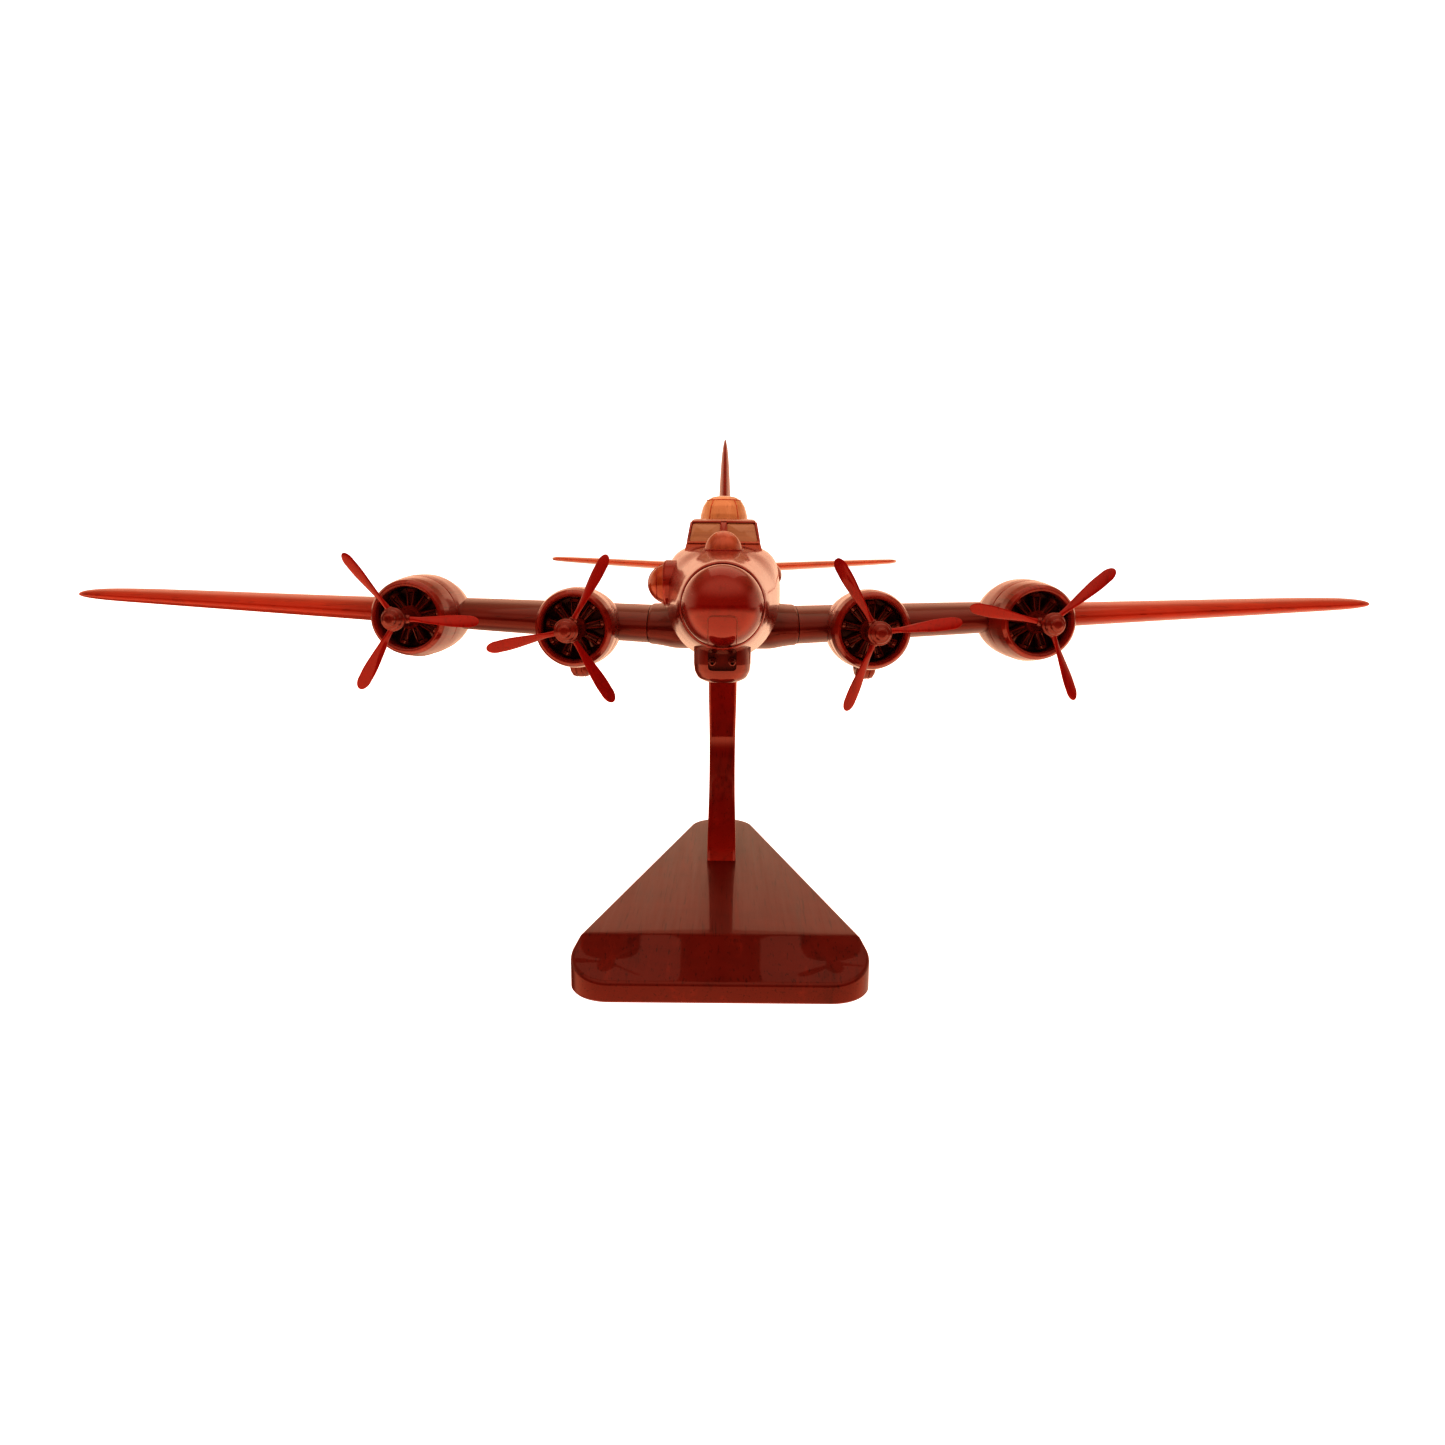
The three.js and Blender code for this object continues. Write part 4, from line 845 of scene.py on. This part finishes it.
def tailplane(side, s):
    xs = np.concatenate([np.linspace(5, 84, 30), np.linspace(85, 95, 8), 95 + 7.6 * np.sin(np.linspace(0.05, 1, 20) * math.pi / 2)])
    rings = []
    for x in xs:
        a, b, t = table(TAIL, [x])[0]
        if x > 95:
            k = math.sqrt(max(0.0, 1 - ((x - 95) / 7.62) ** 2))
            a0, b0, t0 = table(TAIL, [95])[0]
            m = a0 + 0.55 * (b0 - a0)
            a, b, t = m + (a0 - m) * k, m + (b0 - m) * k, t0 * (0.25 + 0.75 * k)
        rings.append(section(s, x, a, b, t, 126.2 + 0.053 * x, 0.18, 0.0))
    put(make("tailplane_panel_" + side, loft(rings), M_TAIL, 40), "tailplane_" + side)
    lines = []
    for up in (1, -1):
        pts = []
        for x in np.linspace(13, 97, 50):
            a, b, t = table(TAIL, [x])[0]
            u = 0.62
            pts.append([s * x, a + (b - a) * u, 126.2 + 0.053 * x + up * t / 2 * float(foil(np.array(u)))])
        lines.append(tube(pts, 0.09, 5))
    put(make("tailplane_lines_" + side, join(*lines), M_LINE), "tailplane_" + side, False)


def fin():
    zs = np.concatenate([np.linspace(124, 150, 34), np.linspace(151, 197, 34), 197.4 + 5.6 * np.sin(np.linspace(0, 1, 22) * math.pi / 2)])
    fu = np.concatenate([[0, 0.001, 0.004, 0.01], np.linspace(0.02, 0.3, 16), np.linspace(0.33, 1, 24)])
    def half(z, y, a, b, t):
        p, q = np.clip((y - a) / 26, 0, 1), np.clip((b - y) / 48, 0, 1)
        return 0.5 * t * np.sqrt(p * (2 - p)) * (0.12 + 0.88 * q * (2 - q))
    rings = []
    for z in zs:
        a, b, t = table(FIN, [z])[0]
        y = a + (b - a) * fu
        h = half(z, y, a, b, t)
        h[0] = 0
        L = np.stack([-h, y, np.full(len(y), z)], 1)
        R = np.stack([h, y, np.full(len(y), z)], 1)
        rings.append(np.concatenate([L, R[1:][::-1]]))
    put(make("fin_blade", loft(rings), M_FIN, 40), "fin")
    lines = []
    for s in (-1, 1):
        pts = []
        for z in np.linspace(133, 198, 50):
            a, b, t = table(FIN, [z])[0]
            y = 154 + (z - 133) * 0.02
            pts.append([s * float(half(z, np.array(y), a, b, t)), y, z])
        lines.append(tube(pts, 0.1, 5))
    put(make("fin_lines", join(*lines), M_LINE), "fin", False)


for side_, s_ in (("left", -1), ("right", 1)):
    tailplane(side_, s_)
fin()


# ------------------------------------------------------------------ base and arm
def base():
    pts = []
    for q in np.linspace(0, math.radians(76.87), 22):       # apex arc
        pts.append((13.6 * math.sin(q), -18.22 + 13.6 * math.cos(q)))
    n = len(pts)
    x0, y0 = pts[-1]
    cx, cy, rf = 31.96, -150.96, 12.59
    x1, y1 = cx + rf * math.cos(math.radians(13.13)), cy + rf * math.sin(math.radians(13.13))
    for k in np.linspace(0, 1, 40)[1:]:
        pts.append((x0 + (x1 - x0) * k, y0 + (y1 - y0) * k))
    for q in np.linspace(math.radians(13.13), -math.pi / 2, 40)[1:]:
        pts.append((cx + rf * math.cos(q), cy + rf * math.sin(q)))
    # a row exactly on the crease
    rows = sorted({round(p[1], 4) for p in pts} | {BASE_CREASE_Y, BASE_CREASE_Y - 0.12, BASE_CREASE_Y + 0.12}, reverse=True)
    py, px = [p[1] for p in pts][::-1], [p[0] for p in pts][::-1]
    half = [(float(np.interp(y, py, px)), y) for y in rows]
    half[0] = (0.0, half[0][1])
    half[-1] = (cx, BASE_FRONT_Y)
    outline = half + [(-x, y) for x, y in half[1:][::-1]]
    o = np.array(outline)
    d = np.roll(o, -1, 0) - np.roll(o, 1, 0)
    nrm = np.stack([-d[:, 1], d[:, 0]], 1)
    nrm /= np.linalg.norm(nrm, axis=1, keepdims=True)
    c = o - [0, -100]
    nrm *= np.sign((nrm * c).sum(1, keepdims=True))
    drop = (BASE_H - BASE_EDGE_H) / (BASE_CREASE_Y - BASE_FRONT_Y)
    def top(y):
        k = BASE_CREASE_Y - y
        k = np.where(k < -0.12, 0, np.where(k > 0.12, k, (k + 0.12) ** 2 / 0.48))
        return BASE_H - drop * k
    rings = []
    for inset, h in ((1.2, 0.0), (0.35, 0.12), (0.0, 0.6)):
        p = o - nrm * inset
        rings.append(np.column_stack([p, np.full(len(p), h)]))
    for a in np.linspace(0, math.pi / 2, 8):
        inset, dz = 1.1 * (1 - math.cos(a)), 1.1 * (1 - math.sin(a))
        p = o - nrm * inset
        rings.append(np.column_stack([p, top(p[:, 1]) - dz]))
    verts, faces = loft(rings, True, False)
    # top skin: strips between mirrored points
    k = len(o)
    s = (len(rings) - 1) * k
    m = len(half)
    for i in range(1, m - 1):
        a, b = s + i, s + i + 1
        c2, d2 = s + (k - i - 1), s + (k - i)
        faces.append((a, b, c2, d2))
    faces.append((s, s + 1, s + k - 1))
    ob = make("base_block", (verts, faces), M_BASE, 22)
    put(ob, "base_plinth")


base()

ARM = [[BASE_H, -68.5, -34, 11.2], [16, -66.0, -31, 11.2], [20, -59.5, -26.5, 11.2], [26, -51.5, -22, 10.9], [34, -44.5, -18.6, 10.6], [44, -40.6, -17.2, 10.5],
       [54, -39.6, -17.6, 10.6], [64, -41.2, -19.6, 10.9], [74, -45.0, -22.4, 11.2], [84, -51.0, -26.0, 11.2], [92, -57.0, -28.6, 11.2], [97.5, -60, -29.5, 11.2]]


def arm():
    zs = np.concatenate([np.linspace(BASE_H + 0.02, 92, 90)])
    par = table(ARM, zs)
    rings = []
    for z, (a, b, w) in zip(zs, par):
        f = fillet([(-w / 2, a), (w / 2, a), (w / 2, b), (-w / 2, b)], 1.1, 6, True)
        rings.append(np.column_stack([f, np.full(len(f), z)]))
    a, b, w = table(ARM, [93.0])[0]
    f = fillet([(-w / 2, a), (w / 2, a), (w / 2, b), (-w / 2, b)], 1.1, 6, True)
    o = f.mean(0)
    for k in (1.0, 0.97, 0.9, 0.6, 0.3, 0.05):
        g = o + (f - o) * k
        z = 113.05 - np.sqrt((19.42 + 0.3 + (1 - k) * 0.1) ** 2 - g[:, 0] ** 2)
        if k == 1.0:
            z = z - 0.25
        rings.append(np.column_stack([g, z]))
    put(make("arm_board", loft(rings), M_ARM, 35), "stand_arm")
    prof = fillet([[0, SADDLE_Z - 6], [PEG_R, SADDLE_Z - 6], [PEG_R, PEG_TOP - 0.7], [PEG_R - 0.7, PEG_TOP], [0, PEG_TOP]], [0, 0, 0.4, 0.4, 0], 4)
    put(make("arm_peg", lathe(prof, 48, (0, PEG_Y, 0), "Z"), M_PEG, 40), "stand_peg")


arm()


# ------------------------------------------------------------------ floor, world, lights
def stage():
    me = bpy.data.meshes.new("floor")
    s = 6.0
    me.from_pydata([(-s, -s, -0.0002), (s, -s, -0.0002), (s, s, -0.0002), (-s, s, -0.0002)], [], [(0, 1, 2, 3)])
    fl = bpy.data.objects.new("floor", me)
    bpy.context.scene.collection.objects.link(fl)
    m, t, bs = nodes("floor_paper")
    bs.inputs["Base Color"].default_value = (0.86, 0.84, 0.82, 1)
    bs.inputs["Roughness"].default_value = 0.9
    bs.inputs["Specular IOR Level"].default_value = 0.05
    bs.inputs["Emission Color"].default_value = (0.86, 0.92, 0.95, 1)
    bs.inputs["Emission Strength"].default_value = 0.92
    me.materials.append(m)
    fl.visible_glossy = fl.visible_diffuse = False

    # soft warm surroundings; the camera itself sees plain white
    w = bpy.data.worlds.new("studio")
    bpy.context.scene.world = w
    w.use_nodes = True
    t = w.node_tree
    t.nodes.clear()
    out = t.nodes.new("ShaderNodeOutputWorld")
    bg = t.nodes.new("ShaderNodeBackground")
    tc = t.nodes.new("ShaderNodeTexCoord")
    sep = t.nodes.new("ShaderNodeSeparateXYZ")
    t.links.new(tc.outputs["Generated"], sep.inputs[0])

    def smooth(v, a, b, c=0.0, d=1.0):
        n = t.nodes.new("ShaderNodeMapRange")
        n.interpolation_type = "SMOOTHSTEP"
        for k, q in (("From Min", a), ("From Max", b), ("To Min", c), ("To Max", d)):
            n.inputs[k].default_value = q
        t.links.new(v, n.inputs[0])
        return n.outputs[0]
    X, Y, Z = sep.outputs
    back = mix(t, smooth(Z, 0.60, 0.9), (0.36, 0.185, 0.10), (0.75, 0.30, 0.19))
    back = mix(t, smooth(Z, 0.55, 0.30), back, (1.0, 0.60, 0.42))
    side = mix(t, smooth(X, 0.02, 0.45), (0, 0, 0), (0.15, 0.11, 0.09))
    low = smooth(Z, 0.30, 0.05)
    sv = t.nodes.new("ShaderNodeVectorMath")
    sv.operation = "SCALE"
    t.links.new(side, sv.inputs[0])
    t.links.new(low, sv.inputs["Scale"])
    ad = t.nodes.new("ShaderNodeVectorMath")
    t.links.new(back, ad.inputs[0])
    t.links.new(sv.outputs[0], ad.inputs[1])
    # darker low down on the left
    dim = math_node(t, "MULTIPLY", math_node(t, "MULTIPLY", smooth(X, -0.08, -0.45), smooth(Z, 0.02, -0.12)), smooth(Y, 0.3, 0.6))
    rear = mix(t, dim, ad.outputs[0], (0.16, 0.055, 0.03))
    front_up = mix(t, smooth(Z, 0.03, 0.09), (0.02, 0.008, 0.005), (0.34, 0.10, 0.06))
    front_up = mix(t, smooth(Z, 0.30, 0.85), front_up, (1.8, 0.74, 0.50))
    lp = t.nodes.new("ShaderNodeLightPath")
    low_front = mix(t, lp.outputs["Is Glossy Ray"], (1.2, 0.42, 0.27), (2.8, 0.95, 0.55))
    front = mix(t, smooth(Z, -0.03, -0.30), front_up, low_front)
    split = mix(t, smooth(Z, 0.0, -0.10), smooth(Y, -0.35, 0.2), smooth(Y, 0.1, 0.6))
    col = mix(t, split, front, rear)
    col = mix(t, lp.outputs["Is Camera Ray"], col, (1.1, 1.1, 1.1))
    t.links.new(col, bg.inputs[0])
    t.links.new(bg.outputs[0], out.inputs[0])

    def area(name, loc, target, size, energy, col=(1, 1, 1), sy=None):
        l = bpy.data.lights.new(name, "AREA")
        l.shape, l.size, l.size_y, l.energy, l.color = "RECTANGLE", size, sy or size, energy, col
        o = bpy.data.objects.new(name, l)
        bpy.context.scene.collection.objects.link(o)
        o.location = loc
        o.rotation_euler = (Vector(target) - Vector(loc)).to_track_quat("-Z", "Y").to_euler()
        o.visible_glossy = name == "top_back"
        return o
    area("key_front", (-0.35, -1.1, 1.0), (0, 0, 0.1), 1.0, 2.0, (1, 0.72, 0.55), 0.6)
    area("top_back", (0.1, 0.55, 1.3), (0, 0, 0.1), 1.2, 2.5, (1, 0.7, 0.55))
    bpy.context.scene.view_settings.view_transform = "Standard"
    bpy.context.scene.view_settings.look = "High Contrast"


stage()
